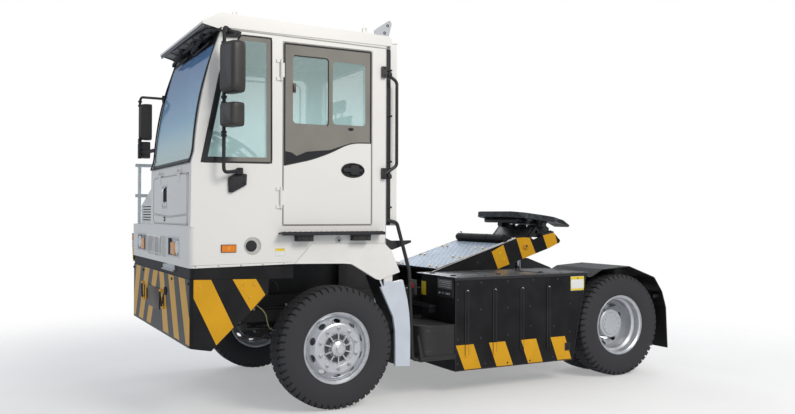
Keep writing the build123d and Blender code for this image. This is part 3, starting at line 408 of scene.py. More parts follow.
    def skin(self, rings):
        """Faces between rings of points, and a cap on the first ring and the last."""
        count = len(rings[0])
        for lower, upper in zip(rings, rings[1:]):
            for index in range(count):
                after = (index + 1) % count
                self.mesh.faces.new((lower[index], lower[after], upper[after], upper[index]))
        self.mesh.faces.new(rings[0][::-1])
        self.mesh.faces.new(rings[-1])

    def piece(self, name, body, slot, *finishes, crease=35):
        """Turn the shell into an object that rides on a body."""
        shell = self.mesh
        bmesh.ops.transform(shell, matrix=FROM_DATUM, verts=shell.verts)
        bmesh.ops.recalc_face_normals(shell, faces=shell.faces)
        for face in shell.faces:
            face.smooth = True
        for edge in shell.edges:
            edge.smooth = edge.is_manifold and edge.calc_face_angle(0) < math.radians(crease)
        data = bpy.data.meshes.new(name)
        shell.to_mesh(data)
        shell.free()
        made = bpy.data.objects.new(name, data)
        bpy.context.scene.collection.objects.link(made)
        for finish in finishes:
            # a name that the frame's model also has gives that model's plain material, not the one made here
            data.materials.append(bpy.data.materials[finish] if isinstance(finish, str) else finish)
        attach(made, body)
        return made


def about(middle, half):
    """The span that reaches as far to both sides of a middle."""
    return middle - half, middle + half


def span(side, first, last):
    """Low and high X, on one side of the vehicle, of a span given for the left."""
    return sorted((side * first, side * last))


def on_boom(x, along, across):
    """A point given across the vehicle, then along and across the boom."""
    return BOOM @ Vector((x, along, across))


# ---- properties --------------------------------------------------------------------------------
def colour_property(name, description, default):
    return FloatVectorProperty(
        name=name, description=description, subtype="COLOR", size=3, default=default, min=0, max=1
    )


class TractorColours(bpy.types.PropertyGroup):
    body: colour_property("Body", "Paint of the cab", (0.83, 0.82, 0.79))
    black: colour_property("Black", "Paint of frame, boxes and bumper", (0.008, 0.008, 0.009))
    stripe: colour_property("Stripe", "Paint of the warning stripes", (0.72, 0.37, 0.016))
    # the glass border's grey is a painted reflection on its black print
    frit_painted_reflection: colour_property("Glass border", "Printed border of the side glass", (0.255, 0.245, 0.215))


# ---- paint -------------------------------------------------------------------------------------
WHITE_NODES = (
    "nose_body", "cab_left_wall", "cab_right_wall", "cab_rear_wall", "cab_front_wall", "cab_roof", "door",
    "front_flap", "engine_hood",
)
BUMPER_SIDE_STRIPES = (  # Y and Z
    [(-1236, 1139), (-1078, 1134), (-897, 755), (-1035, 624), (-1235, 1042)],
    [(-907, 1132), (-716, 1128), (-639, 1000), (-757, 876)],
)
BUMPER_FRONT_STRIPES = (  # X of both upper corners at Z 1135, then of both lower corners at Z 630
    (60, 243, 447, 238), (418, 618, 835, 646), (793, 1004, 1254, 1043),
    (-190, 10, -299, -487), (-566, -354, -661, -866), (-999, -766, -1032, -1204),
)
BOX_STRIPES = (  # Y of both upper corners at Z 455, then of both lower corners at Z 215
    (1172, 1365, 1455, 1272), (1538, 1720, 1817, 1629), (1901, 2085, 2172, 1996), (2260, 2438, 2525, 2352),
)
BOOM_STRIPES = (
    [(2070, 1260), (2218, 1330), (2330, 1042), (2189, 990)],
    [(2381, 1410), (2563, 1400), (2664, 1190), (2495, 1110)],
    [(2733, 1440), (2890, 1480), (2970, 1250), (2827, 1220)],
)
DOOR_BAND = [(-485, 2162), (-477, 2160), (-419, 2149), (-376, 2123), (-288, 2161), (-200, 2171), (-80, 2183),
             (58, 2231), (154, 2250)]
DOOR_PANES = (((-410, -97), (2389, 2943)), ((-57, 249), (2399, 2926)))
FINISHES = (  # name, colour or the property that holds it, then what worn() takes; its other sockets last
    ("bolt_zinc", (0.55, 0.56, 0.57), 0.3, 12, 0.1, 40, 0.15, {"Metallic": 0.8}),
    ("bolt_brass", (0.62, 0.52, 0.30), 0.34, 12, 0.1, 40, 0.15, {"Metallic": 0.7}),
    ("cast_aluminium", (0.60, 0.61, 0.62), 0.38, 5, 0.4, 60, 0.1, {"Metallic": 0.55}),
    ("mirror_glass", (0.72, 0.76, 0.80), 0.2, 90, 0.02, 300, 0.03, {"Metallic": 1.0}),
    ("seal_rubber", (0.012, 0.012, 0.013), 0.55, 3, 0.2, 90, 0.2),
    ("label_yellow", (0.80, 0.60, 0.02), 0.42, 7, 0.1, 60, 0.05),
    ("seam_grey", (0.22, 0.215, 0.20), 0.5, 9, 0.1, 90, 0.1),
    ("yellow_paint", "stripe", 0.42, 7, 0.3, 60, 0.08),
    ("red_plastic", (0.55, 0.015, 0.012), 0.35, 3, 0.2, 60, 0.1),
    ("amber_lens", (0.90, 0.34, 0.02), 0.2, 8, 0.4, 30, 0.12, {"Coat_Weight": 0.6}),
    ("red_lens", (0.40, 0.008, 0.008), 0.2, 8, 0.4, 30, 0.15, {"Coat_Weight": 0.6}),
    ("clear_lens", (0.72, 0.77, 0.84), 0.14, 9, 0.6, 30, 0.1, {"Coat_Weight": 0.8}),
    ("white_trim", "body", 0.35, 9, 0.15, 200, 0.04),
    ("port_grey", (0.50, 0.50, 0.47), 0.45, 9, 0.1, 60, 0.1),
    ("label_white", (0.78, 0.79, 0.78), 0.4, 5, 0.05, 60, 0.03),
    ("deep_black", (0.005, 0.005, 0.005), 0.7, 6, 0.4, 80, 0.3),
    ("hose_black", (0.016, 0.016, 0.016), 0.45, 3, 0.2, 60, 0.25),
    ("key_blue", (0.10, 0.30, 0.55), 0.3, 5, 0.1),
    ("catch_brown", (0.075, 0.045, 0.035), 0.4, 5, 0.2),
    ("mirror_housing", (0.034, 0.031, 0.029), 0.46, 1.8, 0.35, 200, 0.2),
    # painted highlight: a lighter black for the short arc on top of each box rib
    ("rib_edge", (0.055, 0.055, 0.058), 0.3, 9, 0.2),
    ("step_black", (0.022, 0.022, 0.023), 0.45, 4, 0.4),
    ("tread_aluminium_edge", (0.80, 0.80, 0.79), 0.4, 9, 0.2),
    ("jaw_steel", (0.10, 0.10, 0.105), 0.32, 9, 0.3, 60, 0.3, {"Metallic": 0.8}),
    ("lining", (0.30, 0.30, 0.285), 0.7, 3, 0.4),
    ("mat_rubber", (0.025, 0.025, 0.025), 0.7, 3, 0.5),
    ("hub_shade", (0.06, 0.062, 0.066), 0.5, 5, 0.3),
    ("plate_bronze", (0.055, 0.038, 0.028), 0.35, 5, 0.2),
    ("tube_brass", (0.42, 0.40, 0.22), 0.35, 9, 0.1, 50, 0.2, {"Metallic": 0.5}),
)
QUARTER_GLASS = [(-591, 3069), (-586, 2053), (-1166, 2045), (-1020, 2765), (-853, 3068)]


def painted_body(colour):
    """White outside, a grey gusset on the roof, a dark lining inside the cab, and painted shade in the
    lining's grey on the downward faces under the sun visor.
    """
    finish = Finish("cab_white")
    patches = finish.noise(700, 2.0)
    outside = finish.mix(patches.step(0.3, 0.7), colour, scaled(colour, 0.98))
    outside = finish.mix(finish.z.step(1500, 1225) * finish.noise(120, 4.0) * 0.2, outside,
                         (0.62, 0.60, 0.56))
    gusset = finish.y.between(400, 620) * (finish.z > 3196.0) * (finish.x > 990.0)
    outside = finish.mix(gusset, outside, (0.46, 0.48, 0.52))
    lined = finish.x.between(-281, 1141) * finish.y.between(-1199, 411) * finish.z.between(1500, 3107)
    # painted shade: the downward faces under the sun visor take the lining's dark grey
    under = finish.y.between(-1160, -985) * finish.z.between(3090, 3150) * (finish.facing("Z", -0.9) < 0.5)
    inside = lined.max(under)
    lining = finish.mix(finish.noise(5, 2.0).step(0.35, 0.7), (0.20, 0.20, 0.19), (0.30, 0.30, 0.28))
    return finish.set(
        Base_Color=finish.mix(inside, outside, lining),
        Roughness=inside * 0.4 + finish.noise(300) * 0.04 + 0.24,
        Coat_Weight=0.25, Coat_Roughness=0.12, Normal=finish.bump(finish.noise(60, 1.0), 0.02, 0.2),
    )


def painted_black(colour):
    """Satin black with fine orange peel, slightly uneven, with a few light scuffs."""
    finish = Finish("black_paint")
    patches = finish.noise(450, 3.0)
    fine = finish.noise(7, 4.0, 0.6)
    tone = finish.mix(patches.step(0.35, 0.75), colour, scaled(colour, 1.7))
    tone = finish.mix(finish.noise(60, 5.0, 0.7).step(0.66, 0.8) * 0.35, tone, (0.10, 0.097, 0.09))
    return finish.set(
        Base_Color=tone, Roughness=fine * 0.22 + patches * 0.12 + 0.28, Specular_IOR_Level=0.16,
        Normal=finish.bump(fine, 0.35, 0.5),
    )


def striped(name, colours, masks):
    """Black paint with warning stripes; masks() returns where stripes, scuffs and gloss are."""
    finish = Finish(name)
    fine = finish.noise(8, 4.0, 0.6)
    patches = finish.noise(300, 3.0)
    dark = tuple(value * 1.6 + 0.004 for value in colours.black)
    black = finish.mix(patches.step(0.3, 0.7), tuple(colours.black), dark)
    stripe = tuple(colours.stripe)
    yellow = finish.mix(patches.step(0.35, 0.7), stripe, scaled(stripe, 0.9))
    worn_off = finish.noise(26, 5.0, 0.75).step(0.70, 0.74) * 0.8
    where, scuffs, gloss = masks(finish)
    tone = finish.mix(where * worn_off.flipped(), black, yellow)
    tone = finish.mix(scuffs, tone, (0.16, 0.155, 0.15))
    return finish.set(
        Base_Color=tone, Roughness=fine * 0.2 + patches * 0.1 + 0.3, Specular_IOR_Level=0.18,
        Coat_Weight=gloss, Coat_Roughness=0.22,
        Normal=finish.bump(fine, 0.35, 0.5),
    )


def quads(corners, top, foot):
    """Outlines of stripes from their two upper and two lower corners."""
    return [[(a, top), (b, top), (c, foot), (d, foot)] for a, b, c, d in corners]


def bumper_masks(finish):
    side = finish.stripes(finish.y, finish.z, BUMPER_SIDE_STRIPES) * (finish.x.abs() > HALF_WIDTH - 4)
    outlines = quads(BUMPER_FRONT_STRIPES, 1135, 630)
    front = finish.stripes(finish.x, finish.z, outlines) * (finish.y < FRONT_Y + 3) * (finish.z < 1136.0)
    scuffs = finish.noise(90, 5.0, 0.7, (1, 6, 1)).step(0.7, 0.85) * finish.z.step(900, 600) * 0.5
    return side.max(front), scuffs, (finish.y < FRONT_Y + 3) * 0.4


def box_masks(finish):
    outlines = quads(BOX_STRIPES, 455, 215)
    side = finish.stripes(finish.y, finish.z, outlines) * (finish.x.abs() > 1171)
    notch = finish.y.between(2440, 2500) * finish.z.between(315, 385)
    scuffs = finish.noise(70, 5.0, 0.7, (1, 1, 5)).step(0.68, 0.85) * finish.z.step(800, 300) * 0.45
    return side * notch.flipped(), scuffs, None


def boom_masks(finish):
    side = finish.stripes(finish.y, finish.z, BOOM_STRIPES) * (finish.x.abs() > 449)
    return side, finish.noise(50, 5.0, 0.7).step(0.7, 0.85) * 0.3, None


def rubber():
    """Tyre rubber: fine rings on the sidewall, dusty tread, and painted shade that darkens the rear tyres."""
    finish = Finish("tyre")
    radial = finish.from_axle()
    rings = radial.wave(6.5) * 0.5 + 0.5
    rings = rings * radial.between(318, 392) + radial.between(404, 408) + radial.between(446, 450)
    fine = finish.noise(5, 4.0, 0.7)
    dust = finish.noise(90, 4.0, 0.65)
    tone = finish.mix(dust.step(0.35, 0.75), (0.016, 0.016, 0.017), (0.034, 0.034, 0.035))
    # painted shade: the rear tyres are darker than the front ones
    tone = finish.mix(finish.y.step(1400, 1500) * 0.55, tone, (0.004, 0.004, 0.004))
    tone = finish.mix(radial.step(500, 521) * (dust * 0.5 + 0.3), tone, (0.070, 0.068, 0.064))
    return finish.set(
        Base_Color=tone, Roughness=fine * 0.2 + 0.52, Specular_IOR_Level=0.45,
        Normal=finish.bump(rings, 1.4, 0.8, below=finish.bump(fine, 0.5, 0.7)),
    )


def silver():
    """Wheel silver: fine metallic grain, dulled by brake dust, and painted shade inside the front rims and
    the hub, dark and not metallic there.
    """
    finish = Finish("rim_silver")
    radial = finish.from_axle()
    fine = finish.noise(3.5, 3.0, 0.7)
    dust = finish.noise(55, 4.0, 0.7)
    tone = finish.mix(fine.step(0.3, 0.7), (0.62, 0.64, 0.67), (0.74, 0.76, 0.79))
    tone = finish.mix(dust.step(0.48, 0.8) * radial.step(205, 262) * 0.45, tone, (0.24, 0.235, 0.225))
    # painted shade: the hub's middle and the inside of the front rims are dark, not metallic and not glossy
    hub = finish.x.abs().step(1010, 960) * radial.step(150, 120)
    inner = hub.max(finish.x.abs().step(975, 940) * (finish.y < 1000.0))
    tone = finish.mix(inner, tone, (0.05, 0.05, 0.05))
    return finish.set(
        Base_Color=tone, Metallic=inner * -0.75 + 0.75,
        Roughness=fine * 0.12 + dust * 0.12 + inner * 0.45 + 0.22,
        Coat_Weight=inner * -0.3 + 0.3,
        Coat_Roughness=0.15, Normal=finish.bump(fine, 0.15, 0.5),
    )


def side_glass(finish, seals, panes, dark):
    """Printed border round clear panes, then a dark band and a seal, as a colour, an alpha and a gloss. The
    border's grey is a painted reflection on black print, and the panes' pale teal is partly their tint and
    partly painted light.
    """
    # painted reflection: the black print is coloured grey, darker in random patches, and black towards the
    # front
    border = tuple(bpy.context.scene.tractor_colours.frit_painted_reflection)
    shaded = scaled(border, 0.86)
    tone = finish.mix(finish.noise(380, 2.0).step(0.3, 0.7), border, shaded)
    tone = finish.mix(finish.y.step(-860, -980), tone, (0.03, 0.03, 0.032))
    # the panes' pale teal, paler at their foot, is partly the glass's tint and partly painted light
    clear = finish.mix(finish.z.step(2300, 2900), (0.66, 0.95, 0.95), (0.46, 0.62, 0.60))
    tone = finish.mix(panes, tone, clear)
    tone = finish.mix(dark.max(seals), tone, (0.022, 0.022, 0.024))
    return finish.set(
        Base_Color=tone, Roughness=seals * 0.4 + finish.noise(200, 2.0) * 0.02 + 0.04, Specular_IOR_Level=0.5,
        Alpha=panes * seals.flipped() * -0.62 + 1.0, Normal=finish.bump(finish.noise(500, 1.0), 1.0, 0.1),
    )


def rounded(u, v, span_u, span_v, radius):
    """How far inside a round-cornered rectangle, in millimetres."""
    out_u = ((u - sum(span_u) / 2).abs() - ((span_u[1] - span_u[0]) / 2 - radius)).max(0.0)
    out_v = ((v - sum(span_v) / 2).abs() - ((span_v[1] - span_v[0]) / 2 - radius)).max(0.0)
    return ((out_u * out_u + out_v * out_v).math("SQRT") * -1.0) + radius


def door_glazing():
    finish = Finish("door_glass")
    panes = None
    for span_y, span_z in DOOR_PANES:
        here = rounded(finish.y, finish.z, span_y, span_z, 35) > 0.0
        panes = here if panes is None else panes.max(here)
    foot = None
    for (y0, z0), (y1, z1) in zip(DOOR_BAND, DOOR_BAND[1:]):
        here = finish.y.between(y0, y1 + 0.5) * (finish.z < (finish.y - y0) * ((z1 - z0) / (y1 - y0)) + z0)
        foot = here if foot is None else foot.max(here)
    edge = finish.y.between(-474, 291) * (finish.z < 3027.0)
    return side_glass(finish, edge.flipped(), panes, foot)


def quarter_glazing():
    """The left quarter window's printed border, and clear panes in the other windows."""
    finish = Finish("glass")
    inside = finish.within(finish.y, finish.z, QUARTER_GLASS)
    left = finish.x > HALF_WIDTH - 60
    seal = left * (inside < 13.0)
    panes = (inside > 46.0).max(left.flipped())
    return side_glass(finish, seal, panes, seal)


def screen_glazing():
    """Windscreen with a painted sky reflection, blue at its top and pale near its foot, and a black border,
    deeper at its top.
    """
    finish = Finish("windscreen")
    across = (finish.x - 430) * (1 / 710)
    edge = (across.abs() > 0.945).max((finish.z > 2985.0).max(finish.z < 2082.0))
    # painted sky reflection: blue rising towards the top, pale near the foot
    rise = finish.z.step(2080, 2950)
    tone = finish.mix(rise, (0.52, 0.82, 0.96), (0.18, 0.34, 0.62))
    tone = finish.mix(finish.z.step(2450, 2090), tone, (0.78, 0.94, 0.91))
    tone = finish.mix(edge, tone, (0.014, 0.014, 0.016))
    return finish.set(
        Base_Color=tone, Roughness=edge * 0.25 + finish.noise(300, 2.0) * 0.02 + 0.04,
        Alpha=edge.flipped() * -0.18 + 1.0, Specular_IOR_Level=0.3,
        Normal=finish.bump(finish.noise(700, 1.0), 1.5, 0.1),
    )


SLANT = 0.7071  # cosine and sine of 45 degrees


def chequered():
    """Aluminium tread plate: raised lozenges in alternate directions, worn bright."""
    finish = Finish("tread_aluminium")
    rise = math.radians(BOOM_RISE)
    along = finish.y * math.cos(rise) + finish.z * math.sin(rise)
    first = (finish.x * SLANT + along * SLANT).wave(60) * 0.5 + 0.5
    second = (finish.x * SLANT - along * SLANT).wave(60) * 0.5 + 0.5
    thin_first = (finish.x * SLANT - along * SLANT).wave(30).abs()
    thin_second = (finish.x * SLANT + along * SLANT).wave(30).abs()
    bars = (first * thin_first).step(0.62, 0.78).max((second * thin_second).step(0.62, 0.78))
    fine = finish.noise(4, 4.0, 0.7)
    worn_bright = finish.noise(180, 3.0)
    tone = finish.mix(bars, (0.27, 0.33, 0.42), (0.58, 0.67, 0.79))
    tone = finish.mix(worn_bright.step(0.55, 0.8) * 0.3, tone, (0.34, 0.37, 0.42))
    return finish.set(
        Base_Color=tone, Metallic=0.45, Roughness=fine * 0.2 + worn_bright * 0.15 + 0.32,
        Normal=finish.bump(bars, 2.2, 0.9, below=finish.bump(fine, 0.2, 0.5)),
    )


def greased():
    """The fifth wheel's cast plate: grey-black with a greasy sheen on top."""
    finish = Finish("cast_iron")
    blotch = finish.noise(70, 4.0, 0.65)
    fine = finish.noise(6, 4.0, 0.7)
    tone = finish.mix(blotch.step(0.35, 0.7), (0.022, 0.026, 0.030), (0.075, 0.085, 0.095))
    return finish.set(
        Base_Color=tone, Metallic=0.35, Roughness=blotch * 0.3 + fine * 0.15 + 0.12,
        Normal=finish.bump(fine, 0.6, 0.8, below=finish.bump(blotch, 1.2, 0.4)),
    )


def lamp_unit():
    """Lamp glass by place: amber and a yellow wedge at the corners, red at the rear, clear in front."""
    finish = Finish("lamp_lens")
    ribs = finish.x.wave(9) * 0.5 + 0.5
    rear = finish.y.step(3000, 3001)
    amber = (finish.x.abs() > HALF_WIDTH - 1) * finish.z.between(1340, 1450)
    tone = finish.mix(ribs, (0.50, 0.54, 0.60), (0.78, 0.82, 0.88))
    tone = finish.mix(finish.noise(60, 3.0).step(0.45, 0.6) * 0.7, tone, (0.05, 0.06, 0.08))
    tone = finish.mix(amber, tone, (0.80, 0.22, 0.01))
    tone = finish.mix((finish.x < -1179.0) * (finish.z < 1340.0), tone, (0.72, 0.37, 0.016))
    tone = finish.mix(rear, tone, (0.42, 0.012, 0.01))
    return finish.set(
        Base_Color=tone, Roughness=0.12, Coat_Weight=0.8, Coat_Roughness=0.05,
        Normal=finish.bump(ribs, 1.2, 0.6),
    )


def guards():
    """Mudguards: pale grey outer face and arch lip, black liner inside."""
    finish = Finish("mudguard")
    outer = finish.x.abs() > 1149.0
    drift = finish.noise(240, 3.0)
    fine = finish.noise(6, 4.0, 0.6)
    white = tuple(bpy.context.scene.tractor_colours.body)
    lip = finish.mix(drift.step(0.3, 0.7), white, scaled(white, 0.94))
    face = finish.mix(drift.step(0.3, 0.7), (0.62, 0.67, 0.74), (0.56, 0.61, 0.68))
    pale = finish.mix(finish.z.step(1045, 1085), face, lip)
    tone = finish.mix(outer, (0.013, 0.013, 0.014), pale)
    return finish.set(
        Base_Color=tone, Roughness=fine * 0.15 + (outer * -0.2 + 0.5), Coat_Weight=0.15, Coat_Roughness=0.15,
        Normal=finish.bump(fine, 0.3, 0.4),
    )


def rails():
    """Galvanised guard rail on the right; black grab tube and steady rail on the left."""
    finish = Finish("galvanised")
    spangle = finish.cells(14)
    fine = finish.noise(9, 3.0)
    zinc = finish.mix(spangle.step(0.2, 0.6), (0.52, 0.58, 0.60), (0.62, 0.67, 0.69))
    left = finish.x > 0.0
    black = finish.mix(fine.step(0.3, 0.7), (0.012, 0.012, 0.013), (0.028, 0.027, 0.027))
    return finish.set(
        Base_Color=finish.mix(left, zinc, black), Roughness=fine * 0.15 + 0.34,
        Metallic=left * -0.4 + 0.4, Normal=finish.bump(fine, 0.2, 0.5),
    )


class TRACTOR_OT_paint(bpy.types.Operator):
    """Give every CAD node its finish, and make the finishes that later pieces name"""

    bl_idname = "tractor.paint"
    bl_label = "Paint"

    def execute(self, context):
        colours = context.scene.tractor_colours
        black = painted_black(tuple(colours.black))
        for node in NODES:
            dress(black, node)
        dress(painted_body(tuple(colours.body)), *WHITE_NODES)
        dress(guards(), "front_mudguards")
        dress(striped("bumper_paint", colours, bumper_masks), "front_bumper")
        dress(striped("box_paint", colours, box_masks), "side_boxes")
        dress(striped("boom_paint", colours, boom_masks), "lift_boom")
        # painted light: the deck plates' black is about ten times lighter than the other black paint
        dress(worn("deck_black", (0.080, 0.081, 0.085), 0.3, 9, 0.3, 260, 0.15), "deck_plates")
        dress(worn("fender_black", (0.014, 0.014, 0.015), 0.4, 9, 0.5, 300, 0.4), "rear_fenders")
        dress(worn("chassis_paint", (0.020, 0.020, 0.021), 0.5, 8, 0.5, 200, 0.4),
              "chassis_frame", "front_axle", "rear_axle", "engine_block", "knuckle_left", "knuckle_right",
              "tie_rod")
        dress(chequered(), "boom_tread_plate")
        dress(greased(), "fifth_wheel_plate")
        dress(worn("bracket_black", (0.026, 0.027, 0.030), 0.42, 8, 0.5, 150, 0.35), "fifth_wheel_bracket")
        dress(worn("chrome", (0.66, 0.67, 0.69), 0.16, 30, 0.05, 200, 0.06, Metallic=1.0), "lift_rods")
        dress(worn("barrel_black", (0.018, 0.018, 0.019), 0.4, 10, 0.3, 120, 0.3), "lift_barrels")
        dress(silver(), "front_wheel_left", "rear_wheels_left")
        # the frame model brings a plain material of this name, and the right wheels keep it
        dress(bpy.data.materials["rim_silver"], "front_wheel_right", "rear_wheels_right")
        rubber()  # not worn: the moulded tyres take the frame model's plain material of the same name
        dress(quarter_glazing(), "cab_windows")
        dress(door_glazing(), "door_glass")
        dress(screen_glazing(), "windscreen")
        dress(lamp_unit(), "lamps")
        dress(rails(), "handrails")
        plastic = worn("black_plastic", (0.020, 0.019, 0.019), 0.5, 2.2, 0.35, 160, 0.25)
        dress(plastic, "mirrors", "steps", "steering_wheel")
        trim = worn("grey_plastic", (0.075, 0.075, 0.072), 0.6, 2.5, 0.4, 200, 0.2)
        dress(trim, "dashboard", "cab_floor", "driver_seat")
        for name, colour, *rest in FINISHES:
            sockets = rest.pop() if isinstance(rest[-1], dict) else {}
            colour = tuple(getattr(colours, colour)) if isinstance(colour, str) else colour
            worn(name, colour, *rest, **sockets)
        return {"FINISHED"}


# ---- wheels ------------------------------------------------------------------------------------
TYRE_SECTION = (  # along the axle from the tyre's middle, then radius: one side, from the bead up
    (-102, 288), (-106, 300), (-121, 305), (-134, 325), (-142, 352), (-146.5, 392), (-146.5, 412),
    (-140, 450),
    (-134, 472), (-122, 482),
)
SHOULDER = (-110, 491)
GROOVE_R = 503
PITCHES = 52
# lug rows across the crown, low and high, from the tyre's middle; grooves between them
RIBS = ((-118, -70), (-62, -24), (-16, 16), (24, 62), (70, 118))
TYRES = (  # node, body, X from the centreline, Y
    ("front_tyre_left", "front_wheel_left", (FRONT_TYRE_X,), 0),
    ("front_tyre_right", "front_wheel_right", (-FRONT_TYRE_X,), 0),
    ("rear_tyres_left", "rear_wheels_left", REAR_TYRE_X, WHEELBASE),
    ("rear_tyres_right", "rear_wheels_right", tuple(-x for x in REAR_TYRE_X), WHEELBASE),
)


class TRACTOR_OT_tyres(bpy.types.Operator):
    """Mould the tyres: a carcass with rows of tread blocks and notched shoulders"""

    bl_idname = "tractor.tyres"
    bl_label = "Tyres"

    def execute(self, context):
        for node, body, places, y in TYRES:
            shell = Shell()
            for x in places:
                self.carcass(shell, x, y)
                self.ribs(shell, x, y)
            tyre = shell.piece(node + "_moulded", body, "tyre", "tyre", crease=28)
            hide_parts(node)
        return {"FINISHED"}

    def carcass(self, shell, x, y):
        mirrored = [(-along, radius) for along, radius in reversed(TYRE_SECTION)]
        crown = [SHOULDER, (-100, GROOVE_R), (100, GROOVE_R), (-SHOULDER[0], SHOULDER[1])]
        inside = [(96, 296), (60, 330), (-60, 330), (-96, 296)]
        shell.spun([*TYRE_SECTION, *crown, *mirrored, *inside], (x, y, AXLE_Z), (1, 0, 0), steps=104)

    def ribs(self, shell, x, y):
        """Blocks round the crown; the shoulder rows reach down the sidewall, with a notch between them."""
        pitch = 2 * math.pi / PITCHES
        for row, (low, high) in enumerate(RIBS):
            outer = row in (0, 4)
            gap = 0.30 if outer else 0.10
            for count in range(PITCHES):
                turn = pitch * (count + 0.35 * row)
                self.block(shell, x, y, low, high, turn, pitch * (1 - gap), row)

    def block(self, shell, x, y, low, high, turn, width, row):
        lean = 0.035 * (1 if row % 2 else -1)
        if row == 0:
            section = [(low - 17, 470), (low - 10, 493), (low - 2, 507), (low + 8, 514), (high, 518),
                       (high, 500),
                       (low + 4, 480)]
        elif row == 4:
            section = [(low, 518), (high - 8, 514), (high + 2, 507), (high + 10, 493), (high + 17, 470),
                       (high - 4, 480), (low, 500)]
        else:
            section = [(low, 519), (high, 519), (high, 500), (low, 500)]
        rings = []
        for part in (-0.5, 0.5):
            ring = []
            for along, radius in section:
                angle = turn + part * width + lean * (along - low) / (high - low)
                ring.append(
                    shell.mesh.verts.new((x + along, y + radius * math.cos(angle),
                                          AXLE_Z + radius * math.sin(angle)))
                )
            rings.append(ring)
        shell.skin(rings)


class TRACTOR_OT_wheel_trim(bpy.types.Operator):
    """Set the wheel nuts, the hub cap bolts, the valves, the balance weights and the rim flanges"""

    bl_idname = "tractor.wheel_trim"
    bl_label = "Wheel trim"

    def execute(self, context):
        for side, sign in SIDES:
            self.front(side, sign)
            self.rear(side, sign)
        return {"FINISHED"}

    def around(self, x, y, radius, turn):
        return Vector((x, y + radius * math.cos(turn), AXLE_Z + radius * math.sin(turn)))

    def front(self, side, sign):
        shell = Shell()
        face = sign * FRONT_TYRE_X
        out = Vector((sign, 0, 0))
        for count in range(10):
            turn = math.radians(36 * count + 18)
            shell.finish = 0
            base = self.around(face + sign * 141.5, 0, 170, turn)
            self.nut(shell, base, out, 26)
            shell.rod(base + out * 26, base + out * 32, 8, 6.5, sides=14)
            # bearing cover bolts between the ribs
            shell.finish = 1
            small = self.around(face + sign * 129, 0, 138, turn + math.radians(18))
            shell.bolt(small, out, 5, 7)
        shell.finish = 1
        for turn in (0, 72, 144, 216, 288):
            shell.bolt(self.around(face + sign * 152.5, 0, 49, math.radians(turn + 12)), out, 4.5, 6)
        shell.finish = 3
        shell.spun([(sign * 119, 76), (sign * 120.8, 77), (sign * 120.8, 116), (sign * 119, 117)],
                   (face, 0, AXLE_Z),
                   (1, 0, 0), steps=60)
        shell.finish = 1
        # rim flange, valve and balance weights
        self.flange(shell, face, 0, sign)
        self.valve(shell, face + sign * 96, 0, sign)
        self.weights(shell, face + sign * 118, 0, (40, 205))
        shell.piece(f"front_wheel_trim_{side}", f"front_wheel_{side}", "rim_silver", "bolt_zinc",
                    "cast_aluminium",
                    "cast_aluminium", "hub_shade")

    def rear(self, side, sign):
        shell = Shell()
        face = sign * 888
        out = Vector((sign, 0, 0))
        for count in range(10):
            turn = math.radians(36 * count + 18)
            base = self.around(face + sign * 14.5, WHEELBASE, 182, turn)
            self.nut(shell, base, out, 28)
            shell.rod(base + out * 28, base + out * 40, 8.5, sides=14, round_by=1)
        shell.finish = 1
        for count in range(12):
            turn = math.radians(30 * count)
            shell.bolt(self.around(face + sign * 166.5, WHEELBASE, 96, turn), out, 6, 9)
        for x in REAR_TYRE_X:
            self.flange(shell, sign * x, WHEELBASE, sign)
        self.valve(shell, face + sign * 60, WHEELBASE, sign)
        self.weights(shell, sign * (REAR_TYRE_X[0] + 118), WHEELBASE, (-64,))
        shell.piece(f"rear_wheel_trim_{side}", f"rear_wheels_{side}", "rim_silver", "bolt_zinc",
                    "cast_aluminium")

    def nut(self, shell, base, out, height):
        """A wheel nut on its round collar."""
        shell.rod(base, base + out * 6, 17, sides=24, round_by=1.5)
        shell.rod(base + out * 6, base + out * height, 13, 11.5, sides=6, round_by=1.5)

    def flange(self, shell, x, y, sign):
        """The rolled edge of a rim."""
        edge = [(117.5, 299), (118.5, 295), (122, 296), (123, 300), (120, 303), (117.5, 302)]
        shell.spun([(sign * along, radius) for along, radius in edge], (x, y, AXLE_Z), (1, 0, 0), steps=72)

    def valve(self, shell, x, y, sign):
        start = self.around(x, y, 234, math.radians(100))
        bend = start + Vector((sign * 26, 0, 4))
        shell.tube([start, bend, bend + Vector((sign * 14, 0, -24))], 4.5, 8, 10)
        shell.rod(bend + Vector((sign * 13, 0, -21)), bend + Vector((sign * 16, 0, -32)), 6, sides=12,
                  round_by=1)

    def weights(self, shell, x, y, places):
        """Balance weights clipped on the rim flange."""
        for place in places:
            points = []
            for step in range(6):
                points.append(self.around(x, y, 291, math.radians(place + step * 1.6)))
            shell.tube(points, 5, 8)


